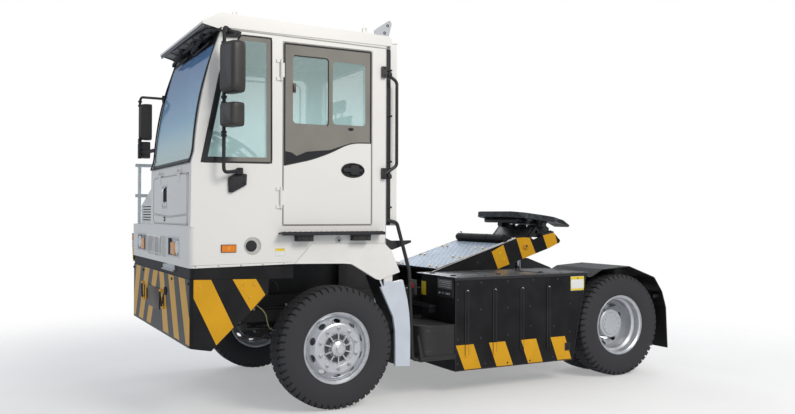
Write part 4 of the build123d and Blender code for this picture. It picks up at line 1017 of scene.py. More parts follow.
# ---- front -------------------------------------------------------------------------------------
class TRACTOR_OT_front(bpy.types.Operator):
    """Fit headlamps, grille, the flap's seams, handle and catch, and bumper, side and corner fittings"""

    bl_idname = "tractor.front"
    bl_label = "Front"

    def execute(self, context):
        self.headlamps()
        self.grille()
        self.flap()
        self.bumper()
        self.side_fittings()
        self.corner_lamp()
        return {"FINISHED"}

    def headlamps(self):
        """A dark cell inside, an amber indicator beside it and the round main lamp outside, in one frame."""
        for name, side in SIDES:
            shell = Shell()
            inner, outer = side * 470, side * 861
            low, high = sorted((inner, outer))
            rim = [(low, 1300), (high, 1300), (high, 1450), (low, 1450)]
            for (x0, z0), (x1, z1) in looped(rim):
                shell.rod((x0, FRONT_Y - 10, z0), (x1, FRONT_Y - 10, z1), 7, sides=10)
            for x, z in rim:
                shell.rod((x, FRONT_Y - 18, z), (x, FRONT_Y - 3, z), 7, sides=12, round_by=2)
            shell.finish = 1
            shell.slab(sorted((inner + side * 12, inner + side * 82)), (FRONT_Y - 12, FRONT_Y - 4),
                       (1306, 1442), 3)
            shell.finish = 2
            lamp_x, lamp_z = inner + side * 312, 1375
            bowl = [(0, 58), (0, 62), (-9, 60), (-9, 52), (-3, 26), (-3, 10), (-12, 8), (-14, 0), (0, 0)]
            shell.spun(bowl, (lamp_x, FRONT_Y - 5, lamp_z), (0, 1, 0), 40)
            shell.finish = 3
            dome = [(-4, 0), (-14, 0), (-13, 20), (-10, 40), (-6, 52), (-4, 52)]
            shell.spun(dome, (lamp_x, FRONT_Y - 8, lamp_z), (0, 1, 0), 40)
            shell.finish = 4
            amber_x = sorted((inner + side * 88, inner + side * 238))
            shell.slab(amber_x, (FRONT_Y - 14, FRONT_Y - 4), (1310, 1412), 4)
            for index in range(7):
                z = 1318 + index * 14
                shell.rod((amber_x[0] + 5, FRONT_Y - 14, z), (amber_x[1] - 5, FRONT_Y - 14, z), 2.5, sides=6)
            shell.piece(f"headlamp_{name}", "chassis", "lamp_lens", "chrome", "deep_black", "chrome",
                        "clear_lens",
                        "amber_lens")

    def grille(self):
        """Chrome bars over dark slots between the headlamps."""
        shell = Shell()
        for index in range(13):
            x = -408 + index * 44
            lean = 10
            shell.tube([(x - lean, FRONT_Y - 3, 1284), (x, FRONT_Y - 12, 1300),
                        (x + lean, FRONT_Y - 12, 1440),
                        (x + lean, FRONT_Y - 3, 1456)], 6, 8, 10)
        shell.finish = 1
        shell.slab((-430, 140), (FRONT_Y - 3, FRONT_Y + 2), (1280, 1460), 1.5)
        shell.piece("grille", "chassis", "chrome", "chrome", "deep_black")
        shell = Shell()
        for index in range(6):
            x = -800 + index * 52
            shell.slab((x, x + 26), (FRONT_Y - 4, FRONT_Y + 1), (1292, 1450), 1.5)
        shell.piece("grille_far_slots", "chassis", "black_plastic", "deep_black")

    def flap(self):
        shell = Shell()
        outline = [(-152, 1650), (-152, 1948), (-118, 1961), (1058, 1961), (1092, 1932), (1092, 1646),
                   (470, 1625)]
        points = [(x, FRONT_Y - 7, z) for x, z in outline]
        shell.tube([*points, points[0]], 3, 8, 20)
        lower = [(-152, 1640), (470, 1615), (1092, 1637), (1092, 1592), (1062, 1566), (-130, 1566),
                 (-152, 1590)]
        points = [(x, FRONT_Y - 7, z) for x, z in lower]
        shell.tube([*points, points[0]], 3, 8, 20)
        shell.piece("flap_seams", "front_flap", "grey_plastic", "port_grey")
        shell = Shell()
        dish = [(222, 1692), (402, 1692), (418, 1710), (418, 1870), (402, 1888), (222, 1888), (206, 1870),
                (206, 1710)]
        shell.prism(dish, "Y", FRONT_Y - 10, FRONT_Y - 5, 1.5)
        shell.finish = 1
        shell.tube([(312, FRONT_Y - 8, 1874), (312, FRONT_Y - 24, 1850), (312, FRONT_Y - 24, 1735),
                    (312, FRONT_Y - 8, 1706)], 9, 12, 20)
        shell.slab((262, 362), (FRONT_Y - 14, FRONT_Y - 9), (1702, 1742), 1.5)
        shell.finish = 2
        shell.slab((232, 392), (FRONT_Y - 11, FRONT_Y - 9.5), (1748, 1874), 0.5)
        shell.piece("flap_handle", "front_flap", "chrome", "chrome", "chrome", "deep_black")
        shell = Shell()
        shell.slab((278, 322), (FRONT_Y - 11, FRONT_Y - 5), (1582, 1622), 2)
        shell.finish = 1
        shell.spun([(0, 0), (-6, 0), (-6, 9), (0, 11)], (300, FRONT_Y - 10, 1602), (0, 1, 0), 20)
        shell.piece("flap_catch", "front_flap", "black_plastic", "black_plastic", "chrome")

    def bumper(self):
        shell = Shell()
        plate = [(-402, 796), (82, 796), (90, 804), (90, 977), (82, 985), (-402, 985), (-410, 977),
                 (-410, 804)]
        shell.prism(plate, "Y", FRONT_Y - 6, FRONT_Y - 2.5, 1)
        shell.piece("bumper_plate", "chassis", "black_paint", "plate_bronze")
        shell = Shell()
        # towing eyes with their pins
        for x, top, foot in ((-620, 984, 840), (205, 972, 836)):
            lean = 20 if x < 0 else 42
            shell.finish = 1
            shell.tube([(x - lean, FRONT_Y - 6, top), (x - lean + 20, FRONT_Y - 19, top - 16),
                        (x + lean - 4, FRONT_Y - 19, foot + 16), (x + lean, FRONT_Y - 6, foot)], 8, 10, 24)
            shell.finish = 0
            for across, z in ((-lean, top), (lean, foot)):
                shell.slab((x + across - 44, x + across + 30), (FRONT_Y - 15, FRONT_Y - 2), about(z, 12), 2.5)
            shell.finish = 1
            shell.slab((x + lean - 10, x + lean + 20), (FRONT_Y - 4.5, FRONT_Y - 2), (foot + 16, top - 18),
                       0.5)
            shell.finish = 0
        shell.slab((-500, -474), (FRONT_Y - 12, FRONT_Y - 2), (836, 946), 3)
        shell.finish = 2
        shell.spun([(1, 0), (-3, 0), (-3, 26), (-7, 28), (-7, 34), (1, 36)], (323, FRONT_Y - 3, 984),
                   (0, 1, 0), 32)
        shell.piece("towing_eyes", "chassis", "chassis_paint", "yellow_paint", "deep_black", "seal_rubber")
        shell = Shell()
        for x in (-1130, -640, 560, 1120):
            shell.bolt((x, FRONT_Y - 1, 1105), (0, -1, 0), 8, 8)
        shell.piece("bumper_bolts", "chassis", "black_paint", "black_paint")
        shell = Shell()
        for _, side in SIDES:
            for y, z in ((-810, 1085), (-728, 1085), (-768, 985)):
                shell.bolt((side * (HALF_WIDTH - 1), y, z), (side, 0, 0), 9, 8)
            shell.bolt((side * (HALF_WIDTH - 1), -1170, 1085), (side, 0, 0), 9, 8)
        shell.piece("bumper_side_bolts", "chassis", "black_paint", "yellow_paint")
        # folded plate under the left headlamp
        shell = Shell()
        shell.prism([(250, 1172), (668, 1182), (672, 1226), (430, 1226), (250, 1214)], "Y", FRONT_Y - 8,
                    FRONT_Y + 4, 1.5)
        shell.slab((250, 668), (FRONT_Y - 22, FRONT_Y - 6), (1172, 1180), 1.5)
        shell.piece("lamp_bracket", "chassis", "cab_white", "cast_aluminium")

    def side_fittings(self):
        """Left side: round port, lock, side marker, blank label and screws. Front: the nose's edge strip."""
        shell = Shell()
        x, y, z = HALF_WIDTH, -745, 1394
        ring = [(-3, 60), (4, 62), (5, 66), (3, 71), (-3, 71)]
        shell.spun(ring, (x, y, z), (1, 0, 0), 56)
        shell.spun([(-1, 0), (1.5, 0), (1.5, 60), (-1, 60)], (x, y, z), (1, 0, 0), 56)
        shell.finish = 1
        cap = [(0, 0), (6, 0), (7, 20), (6, 40), (3, 45), (0, 45)]
        shell.spun(cap, (x + 1, y - 12, z - 2), (1, 0, 0), 44)
        for count in range(18):
            turn = math.radians(20 * count)
            ends = [(x + 7, y - 12 + r * math.cos(turn), z - 2 + r * math.sin(turn)) for r in (30, 43)]
            shell.rod(*ends, 2.4, sides=6)
        for offset in (-14, 0, 14):
            shell.rod((x + 7, y - 30, z - 2 + offset), (x + 7, y + 6, z - 2 + offset), 2.2, sides=6)
        shell.piece("round_port", "chassis", "cab_white", "port_grey", "black_plastic")
        shell = Shell()
        shell.spun([(-2, 0), (-2, 30), (4, 30), (6, 26), (6, 20), (3, 16), (3, 0)], (x, 0, 1428), (1, 0, 0),
                   32)
        shell.finish = 1
        shell.spun([(2, 0), (7, 0), (7, 8), (2, 10)], (x, 4, 1428), (1, 0, 0), 20)
        shell.piece("lock_left", "chassis", "chrome", "cast_aluminium", "deep_black")
        shell = Shell()
        shell.slab((x - 1, x + 5), (-1003, -879), (1343, 1406), 2.5)
        shell.finish = 1
        for index in range(9):
            shell.rod((x + 10, -988 + index * 12, 1352), (x + 10, -988 + index * 12, 1397), 2, sides=6)
        shell.spun([(9, 0), (13, 0), (12, 9), (9, 13)], (x, -941, 1375), (1, 0, 0), 20)
        shell.piece("side_marker", "chassis", "lamp_lens", "black_plastic", "amber_lens")
        shell = Shell()
        shell.finish = 2
        shell.slab(about(x, 0.5), (-557, -475), (1307, 1369))
        shell.finish = 0
        shell.slab((x - 0.5, x + 0.8), (-555, -477), (1309, 1367))
        shell.finish = 1
        shell.slab((x, x + 1.2), (-555, -477), (1347, 1367))
        shell.piece("blank_label_front", "chassis", "cab_white", "label_white", "label_yellow", "port_grey")
        # screws along the lower edge of the body
        shell = Shell()
        for y in (-1200, -1020, -840, -660, -480):
            shell.spun([(0, 0), (3, 0), (2.5, 5), (0, 7)], (x, y, 1240), (1, 0, 0), 14)
        shell.rod((x, -1232, 1247), (x, -400, 1257), 1.6, sides=6)
        shell.piece("body_edge_screws", "chassis", "cab_white", "bolt_zinc")
        # strip along the lower edge of the nose
        shell = Shell()
        shell.slab((-1150, 1150), (FRONT_Y - 5, FRONT_Y + 3), (1226, 1234), 2)
        shell.piece("nose_edge_strip", "chassis", "cab_white", "cast_aluminium")

    def corner_lamp(self):
        """The far corner's lamp: amber top, clear middle, a bracket, and a yellow wedge below."""
        shell = Shell()
        x = -HALF_WIDTH - 4
        shell.slab((x - 34, x), (-1247, -1236), (1388, 1436), 3)
        shell.finish = 1
        shell.slab((x - 36, x), (-1247, -1236), (1312, 1380), 3)
        shell.finish = 2
        shell.tube([(x - 40, -1240, 1306), (x - 40, -1243, 1440), (x + 4, -1243, 1442)], 4, 8, 6)
        shell.finish = 3
        shell.prism([(x - 41, 1308), (x + 4, 1308), (x + 4, 1176), (x - 8, 1176)], "Y", -1244, -1196, 3)
        shell.piece("corner_lamp_far", "chassis", "lamp_lens", "amber_lens", "clear_lens", "black_plastic",
                    "label_yellow")


# ---- cab, outside ------------------------------------------------------------------------------
def framed(shell, outline, x, radius, bend=30):
    """A round bar along a closed outline of Y and Z."""
    points = [(x, y, z) for y, z in outline]
    middle = ((points[0][0] + points[1][0]) / 2, (points[0][1] + points[1][1]) / 2,
              (points[0][2] + points[1][2]) / 2)
    shell.tube([middle, *points[1:], points[0], middle], radius, 8, bend)


class TRACTOR_OT_cab_trim(bpy.types.Operator):
    """Fit seals, wipers, gutters, the visor's ribs, seams and the sill tread to the cab"""

    bl_idname = "tractor.cab_trim"
    bl_label = "Cab trim"

    def execute(self, context):
        self.seals()
        self.visor()
        self.gutters()
        self.sill()
        self.corner_strip()
        self.roof_fittings()
        return {"FINISHED"}

    def seals(self):
        shell = Shell()
        framed(shell, [(-594, 3064), (-589, 2056), (-1160, 2049), (-1015, 2765), (-851, 3064)],
               HALF_WIDTH - 1, 6)
        framed(shell, [(-840, 2120), (240, 2120), (240, 2960), (-840, 2960)], -321, 9, 60)
        for (x0, z0), (x1, z1) in (((-150, 2080), (1000, 2080)), ((1000, 2980), (-150, 2980))):
            shell.rod((x0 + 50 if x0 < x1 else x0 - 50, 451, z0), (x1 - 50 if x0 < x1 else x1 + 50, 451, z1),
                      8, sides=8)
        for x in (-150, 1000):
            shell.rod((x, 451, 2130), (x, 451, 2930), 8, sides=8)
        shell.piece("window_seals", "chassis", "black_plastic", "seal_rubber")
        # black edges of the windscreen on both sides of each front pillar
        shell = Shell()
        for x in (-283, 1143):
            shell.tube([(x, -1246, 2052), (x, -1221, 2130), (x, -1207, 2300), (x, -1186, 2460),
                        (x, -1155, 2620),
                        (x, -1106, 2800), (x, -1052, 2960), (x, -1008, 3095)], 7, 8, 60)
        shell.tube([(-283, -1247, 2050), (1143, -1247, 2050)], 7, 8)
        shell.piece("windscreen_seal", "chassis", "black_plastic", "seal_rubber")

    def visor(self):
        """Under the visor: ribs, a wiper shaft and both wiper arms parked against the glass."""
        shell = Shell()
        for x in (-300, -60, 180, 420, 660, 900, 1150):
            shell.prism([(-1138, 3112), (-1020, 3112), (-1020, 3094), (-1050, 3086)], "X", x - 5, x + 5, 1)
        shell.slab((-320, 1176), (-1152, -1142), (3098, 3120), 2)
        shell.piece("visor_ribs", "chassis", "black_plastic", "grey_plastic")
        shell = Shell()
        shell.tube([(-200, -1062, 3072), (1080, -1062, 3072)], 13, 12)
        for x in (150, 850):
            shell.rod((x, -1040, 3072), (x, -1086, 3062), 22, 18, 20, 2)
            shell.slab(about(x, 60), (-1084, -1040), (3080, 3106), 4)
            # arm and blade parked along the glass's upper edge
            shell.tube([(x, -1086, 3058), (x - 110, -1092, 3032), (x - 270, -1086, 3018)], 8, 8, 40)
            shell.tube([(x, -1080, 3044), (x - 110, -1092, 3014), (x - 270, -1086, 3004)], 5, 8, 40)
            shell.tube([(x + 120, -1046, 3020), (x - 130, -1060, 2996), (x - 300, -1066, 2986)], 8, 6, 60)
            shell.slab((x - 286, x - 256), (-1092, -1068), (2994, 3024), 3)
        shell.slab((500, 640), (-1085, -1030), (3050, 3100), 6)
        shell.piece("wipers", "chassis", "black_plastic", "black_plastic")
        # stay from the visor's far edge to the mirror's bracket
        shell = Shell()
        shell.tube([(60, -1128, 3112), (600, -1132, 3106), (1150, -1100, 3100), (1200, -985, 3076)], 8, 8, 40)
        shell.piece("visor_stay", "chassis", "black_plastic", "black_plastic")

    def gutters(self):
        shell = Shell()
        shell.tube([(HALF_WIDTH + 2, -985, 3100), (HALF_WIDTH + 2, 452, 3086)], 5, 8)
        shell.tube([(-326, -985, 3100), (-326, 452, 3086)], 5, 8)
        # folded edges of the body: door jamb, rear pillar and belt crease
        shell.rod((HALF_WIDTH - 0.5, 318, 1566), (HALF_WIDTH - 0.5, 318, 3048), 1.6, sides=6)
        shell.rod((HALF_WIDTH - 0.5, 446, 1240), (HALF_WIDTH - 0.5, 446, 3086), 3, sides=8)
        shell.tube([(HALF_WIDTH + 0.3, -388, 1246), (HALF_WIDTH + 0.3, -236, 1403),
                    (HALF_WIDTH + 0.3, 440, 1397)], 2, 8)
        shell.piece("body_edges", "chassis", "cab_white", "port_grey")
        shell = Shell()
        framed(shell, [(-491, 1560), (306, 1560), (306, 3043), (-491, 3043)], HALF_WIDTH - 1, 4, 12)
        shell.piece("door_seal", "door", "black_plastic", "seam_grey")

    def sill(self):
        """Ragged grip edge on the sill step, with its two brackets' webs."""
        shell = Shell()
        for index in range(60):
            y = -522 + index * 15.3
            height = 6 + 3 * math.sin(index * 2.1)
            shell.prism([(y, 1496), (y + 10, 1496), (y + 7, 1497 + height), (y + 3, 1497 + height)], "X",
                        HALF_WIDTH + 60, HALF_WIDTH + 98)
            shell.prism([(y + 5, 1496), (y + 13, 1496), (y + 11, 1495 + height), (y + 7, 1495 + height)], "X",
                        HALF_WIDTH + 14, HALF_WIDTH + 52)
        shell.slab((HALF_WIDTH + 96, HALF_WIDTH + 101), (-532, 394), (1474, 1498), 1.5)
        for y in (-391, -262, 111, 260):
            shell.prism([(HALF_WIDTH + 2, 1424), (HALF_WIDTH + 78, 1460), (HALF_WIDTH + 78, 1482),
                         (HALF_WIDTH + 2, 1482)], "Y", y - 2, y + 7)
        for y in (-356, -292, 146, 230):
            shell.bolt((HALF_WIDTH + 80, y, 1450), (1, 0, 0), 7, 7)
        shell.piece("sill_tread", "chassis", "black_plastic", "black_plastic")

    def corner_strip(self):
        """Black strip between the cab's corner and the duct, the grab tube's clamps, and the duct's caps."""
        shell = Shell()
        shell.slab((1112, 1128), (455, 520), (1553, 3090), 3)
        for z in (1700, 2100, 2500, 2900):
            shell.slab((1108, 1140), (462, 530), (z, z + 16), 3)
        for z in (1975, 2858):
            shell.rod((HALF_WIDTH + 16, 452, z), (HALF_WIDTH + 16, 488, z), 22, sides=20, round_by=3)
            shell.bolt((HALF_WIDTH + 29, 420, z - 12), (1, 0, 0), 7, 6)
            shell.bolt((HALF_WIDTH + 29, 420, z + 50), (1, 0, 0), 7, 6)
        shell.finish = 1
        shell.slab((924, 1116), (519, 596), (3146, 3158), 3)
        shell.slab((924, 1116), (519, 596), (1548, 1560), 3)
        shell.piece("cab_corner_strip", "chassis", "black_plastic", "black_plastic", "white_trim")
        shell = Shell()
        for z in (1760, 2060, 2360, 2660, 2960):
            shell.bolt((1020, 589.5, z), (0, 1, 0), 6, 6)
        for index in range(9):
            z = 1600 + index * 14
            shell.rod((950, 592, z), (1090, 592, z), 3, sides=6)
        shell.piece("duct_fittings", "chassis", "cab_white", "bolt_zinc")

    def roof_fittings(self):
        shell = Shell()
        for y, z in ((520, 3262), (550, 3330)):
            shell.spun([(-1, 6), (2, 6), (2, 13), (-1, 13)], (1008, y, z), (1, 0, 0), 20)
        shell.slab((992, 1016), (418, 500), (3180, 3188), 2)
        shell.piece("gusset_rings", "chassis", "cab_white", "seal_rubber")
        # beacon on a low foot, behind the middle of the roof
        shell = Shell()
        base = (430, 330, 3193)
        shell.spun([(-4, 0), (-4, 74), (8, 76), (16, 70), (20, 58), (20, 0)], base, (0, 0, 1), 40)
        shell.finish = 1
        shell.spun([(19, 0), (19, 56), (60, 53), (88, 44), (96, 24), (98, 0)], base, (0, 0, 1), 40)
        for index in range(5):
            z = 28 + index * 11
            shell.spun([(z, 54), (z + 4, 57.5), (z + 8, 54), (z + 4, 52)], base, (0, 0, 1), 40)
        shell.piece("roof_beacon", "chassis", "lamp_lens", "black_plastic", "amber_lens")


class TRACTOR_OT_door_trim(bpy.types.Operator):
    """Fit the door's handle, seals, catches, hinge parts and inner trim"""

    bl_idname = "tractor.door_trim"
    bl_label = "Door trim"

    def execute(self, context):
        x = HALF_WIDTH
        shell = Shell()
        # oval handle dish, lever and key
        dish = oval(132, 2018, 104, 57, 24, 48)
        shell.tube([(x + 1, y, z) for y, z in [*dish, dish[0]]], 6, 8)
        lever = [(106, 1992), (106, 2052), (120, 2064), (178, 2064), (192, 2048), (192, 1992), (178, 1978),
                 (120, 1978)]
        shell.prism(lever, "X", x - 8, x + 9, 6)
        shell.slab((x - 10, x + 7), (43, 222), (2003, 2035), 3)
        shell.finish = 1
        shell.prism([(132 + (y - 132) * 0.97, 2018 + (z - 2018) * 0.95) for y, z in dish], "X", x - 10, x - 7)
        shell.finish = 2
        shell.spun([(-3, 0), (5, 0), (5, 7), (-3, 9)], (x, 209, 2019), (1, 0, 0), 20)
        shell.piece("door_handle", "door", "black_plastic", "black_plastic", "deep_black", "key_blue")
        shell = Shell()
        # sliding pane's seal along its top and rear edge, catch and the oval pull under the rear pane
        shell.tube([(x + 0.5, -398, 2944), (x + 0.5, -112, 2944), (x + 0.5, -96, 2930), (x + 0.5, -96, 2400),
                    (x + 0.5, -104, 2382)], 4.5, 8, 16)
        shell.piece("slider_seal", "door", "black_plastic", "seal_rubber")
        shell = Shell()
        shell.slab((x - 1, x + 10), (-412, -386), (2640, 2716), 4)
        shell.slab((x + 8, x + 16), (-408, -396), (2656, 2700), 3)
        shell.finish = 1
        shell.prism(oval(112, 2366, 26, 13, 12, 24), "X", x - 1, x + 4, 1)
        shell.finish = 2
        shell.slab((x + 3, x + 5), (98, 126), (2360, 2372), 1)
        shell.piece("slider_catches", "door", "black_plastic", "catch_brown", "black_plastic", "deep_black")
        shell = Shell()
        for z in (1779, 2815):
            shell.rod((1192, -512, z - 88), (1192, -512, z + 88), 6, sides=14, round_by=1)
            for offset in (-40, -14, 14, 40):
                shell.rod((x + 10, -497, z + offset), (x + 12.5, -497, z + offset), 4.5, sides=12,
                          round_by=0.8)
            for offset in (-57, 59):
                shell.spun([(-2, 11.5), (2, 11.5), (2, 7), (-2, 7)], (1192, -512, z + offset), (0, 0, 1), 20)
        shell.piece("hinge_fittings", "chassis", "cab_white", "white_trim")
        shell = Shell()
        foot = [(-483, 2043), (-247, 2097), (-75, 2160), (65, 2230), (154, 2253), (300, 2256)]
        shell.tube([(x + 0.5, y, z) for y, z in foot], 4.5, 8, 60)
        shell.tube([(x + 0.5, -483, 2043), (x + 0.5, -483, 3036), (x + 0.5, 300, 3036), (x + 0.5, 300, 2256)],
                   4, 8, 10)
        shell.piece("door_glass_seal", "door", "black_plastic", "seal_rubber")
        shell = Shell()
        # trim panel, inner pull and armrest inside the door
        panel = [(-420, 1620), (240, 1620), (240, 2230), (60, 2190), (-80, 2110), (-420, 2060)]
        shell.prism(panel, "X", 1126, 1139, 5)
        shell.finish = 1
        shell.tube([(1136, 120, 1800), (1098, 130, 1830), (1098, 130, 2010), (1136, 120, 2040)], 11, 12, 30)
        shell.slab((1112, 1127), (-260, 60), (1760, 1800), 6)
        shell.piece("door_inner_trim", "door", "grey_plastic", "grey_plastic", "black_plastic")
        return {"FINISHED"}


class TRACTOR_OT_mirror_heads(bpy.types.Operator):
    """Mould the mirror housings and their glass, and fit their poles and clamps"""

    bl_idname = "tractor.mirror_heads"
    bl_label = "Mirrors"

    def execute(self, context):
        shell = Shell()
        glass = Shell()
        for x, y, z, width, depth, height, turn in MIRRORS:
            place = Matrix.Translation((x, y, z)) @ rotation(turn, "Z")
            self.head(shell, glass, place, width / 2 - 2, depth / 2 - 2, height / 2 - 2)
        heads = shell.piece("mirror_shells", "chassis", "black_plastic", "mirror_housing", crease=50)
        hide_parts("mirrors")
        glass.piece("mirror_panes", "chassis", "glass", "mirror_glass", "seal_rubber")
        self.poles()
        shell = Shell()
        for z in (2965, 2940, 2545, 2500, 2275, 2250):
            shell.spun([(-9, 15), (-9, 22), (9, 22), (9, 15)], (1295, -1016, z), (0, 0, 1), 24)
        for z in (2745, 2705, 2370, 2350, 2195):
            shell.spun([(-8, 13), (-8, 19), (8, 19), (8, 13)], (-780, -1256, z), (0, 0, 1), 24)
        for y, z in ((-925, 1842), (-925, 1925), (-826, 1950), (-826, 1892)):
            shell.bolt((HALF_WIDTH + 25, y, z), (1, 0, 0), 7, 7)
        for y, z in ((-975, 3052), (-880, 3065)):
            shell.bolt((HALF_WIDTH + 23, y, z), (1, 0, 0), 7, 7)
        shell.spun([(-14, 14), (-14, 23), (14, 23), (14, 14)], (HALF_WIDTH + 48, -880, 1985), (1, 0, 0), 24)
        shell.piece("mirror_clamps", "chassis", "black_plastic", "black_plastic")
        return {"FINISHED"}

    def poles(self):
        """Bent tubes, their brackets and the foot's folded pad."""
        shell = Shell()
        x = HALF_WIDTH
        shell.prism([(-990, 3030), (-860, 3040), (-850, 3085), (-960, 3098)], "X", x, x + 24, 4)
        shell.tube([(x + 12, -915, 3070), (1295, -1016, 3094), (1295, -1016, 1965), (x + 34, -868, 1985)], 14,
                   16, 45)
        pad = [(-950, 1932), (-946, 1818), (-922, 1812), (-804, 1876), (-800, 1962), (-880, 1972)]
        shell.prism(pad, "X", x, x + 26, 7)
        shell.slab((x + 20, x + 56), (-890, -840), (1958, 2010), 8)
        shell.slab((-330, -321), (-1140, -1090), (2690, 2755), 2)
        shell.tube([(-327, -1116, 2725), (-780, -1256, 2790), (-780, -1256, 2190)], 12, 14, 60)
        shell.slab((-330, -321), (-1190, -1140), (2210, 2290), 2)
        shell.tube([(-327, -1165, 2250), (-700, -1192, 2250), (-790, -1240, 2250)], 18, 14, 60)
        for z in (2710, 2820, 2400):
            shell.rod((1295, -1016, z), (1350, -1006, z), 13, sides=14, round_by=2)
        for z in (2600, 2480, 2277):
            shell.rod((-780, -1256, z), (-815, -1225, z), 12, sides=14, round_by=2)
        shell.piece("mirror_poles", "chassis", "black_plastic", "black_plastic")

    def head(self, shell, glass, place, wide, deep, high):
        """A housing from a shallow dome in front to its rim, with the pane set back in the rear face."""
        rings = []
        for part, width, height in ((-1.0, 0.62, 0.80), (-0.86, 0.84, 0.92), (-0.5, 0.95, 0.98),
                                    (0.2, 1.0, 1.0),
                                    (0.9, 0.985, 0.99), (1.0, 0.955, 0.975)):
            ring = []
            for step in range(40):
                turn = 2 * math.pi * (step + 0.5) / 40
                across = math.copysign(abs(math.cos(turn)) ** 0.28, math.cos(turn))
                rise = math.copysign(abs(math.sin(turn)) ** 0.20, math.sin(turn))
                point = Vector((across * wide * width, part * deep, rise * high * height))
                ring.append(shell.mesh.verts.new(place @ point))
            rings.append(ring)
        rim = rings[-1]
        rings.append(self.set_back(shell, place, rim, deep * 0.80, 0.92))
        shell.skin(rings)
        glass.skin([self.set_back(glass, place, rim, deep * offset, 0.90) for offset in (0.805, 0.84)])

    def set_back(self, shell, place, rim, depth, scale):
        """New points at a depth in the head, from its rim drawn in towards the middle."""
        points = [Vector((0, depth, 0)) + self.flat(place, vert, scale) for vert in rim]
        return [shell.mesh.verts.new(place @ point) for point in points]

    def flat(self, place, vert, scale):
        """A rim point in the head's own frame, scaled towards its middle and without its depth."""
        point = place.inverted() @ vert.co
        return Vector((point.x * scale, 0, point.z * scale))


MIRRORS = (  # middle X, Y, Z, then width, depth, height and turn of each head
    (1395.5, -986, 2763, 204, 118, 402, 20),
    (1395.5, -988, 2402, 190, 116, 190, 20),
    (-815, -1199, 2550, 180, 124, 355, -8),
    (-868, -1200, 2277, 170, 118, 165, -8),
)


# ---- rear --------------------------------------------------------------------------------------
PLATE_TILT = -7
PLATE = (
    BOOM @ Matrix.Translation((0, 1510, 133)) @ rotation(-BOOM_RISE, "X")
    @ rotation(PLATE_TILT, "X")
)  # the fifth wheel plate: X across, Y to its rear, Z up from the trunnion pins


def on_plate(x, y, z):
    """A point given in the fifth wheel plate's own frame."""
    return PLATE @ Vector((x, y, z))


BOX_FACE_X = 1172
RIB_Y = (1290, 1600, 1915, 2233)
BOX_SCREWS = (
    (1192, 870), (1192, 508), (1192, 285), (1446, 770), (1446, 505), (1493, 264), (1750, 771), (1754, 512),
    (1748, 253), (2012, 769), (2020, 579), (2012, 250), (2300, 560), (2290, 262), (2500, 495), (2505, 767),
    (1192, 1010), (1450, 1015), (1750, 1018), (2050, 1018), (2350, 1018), (2600, 1018),
)


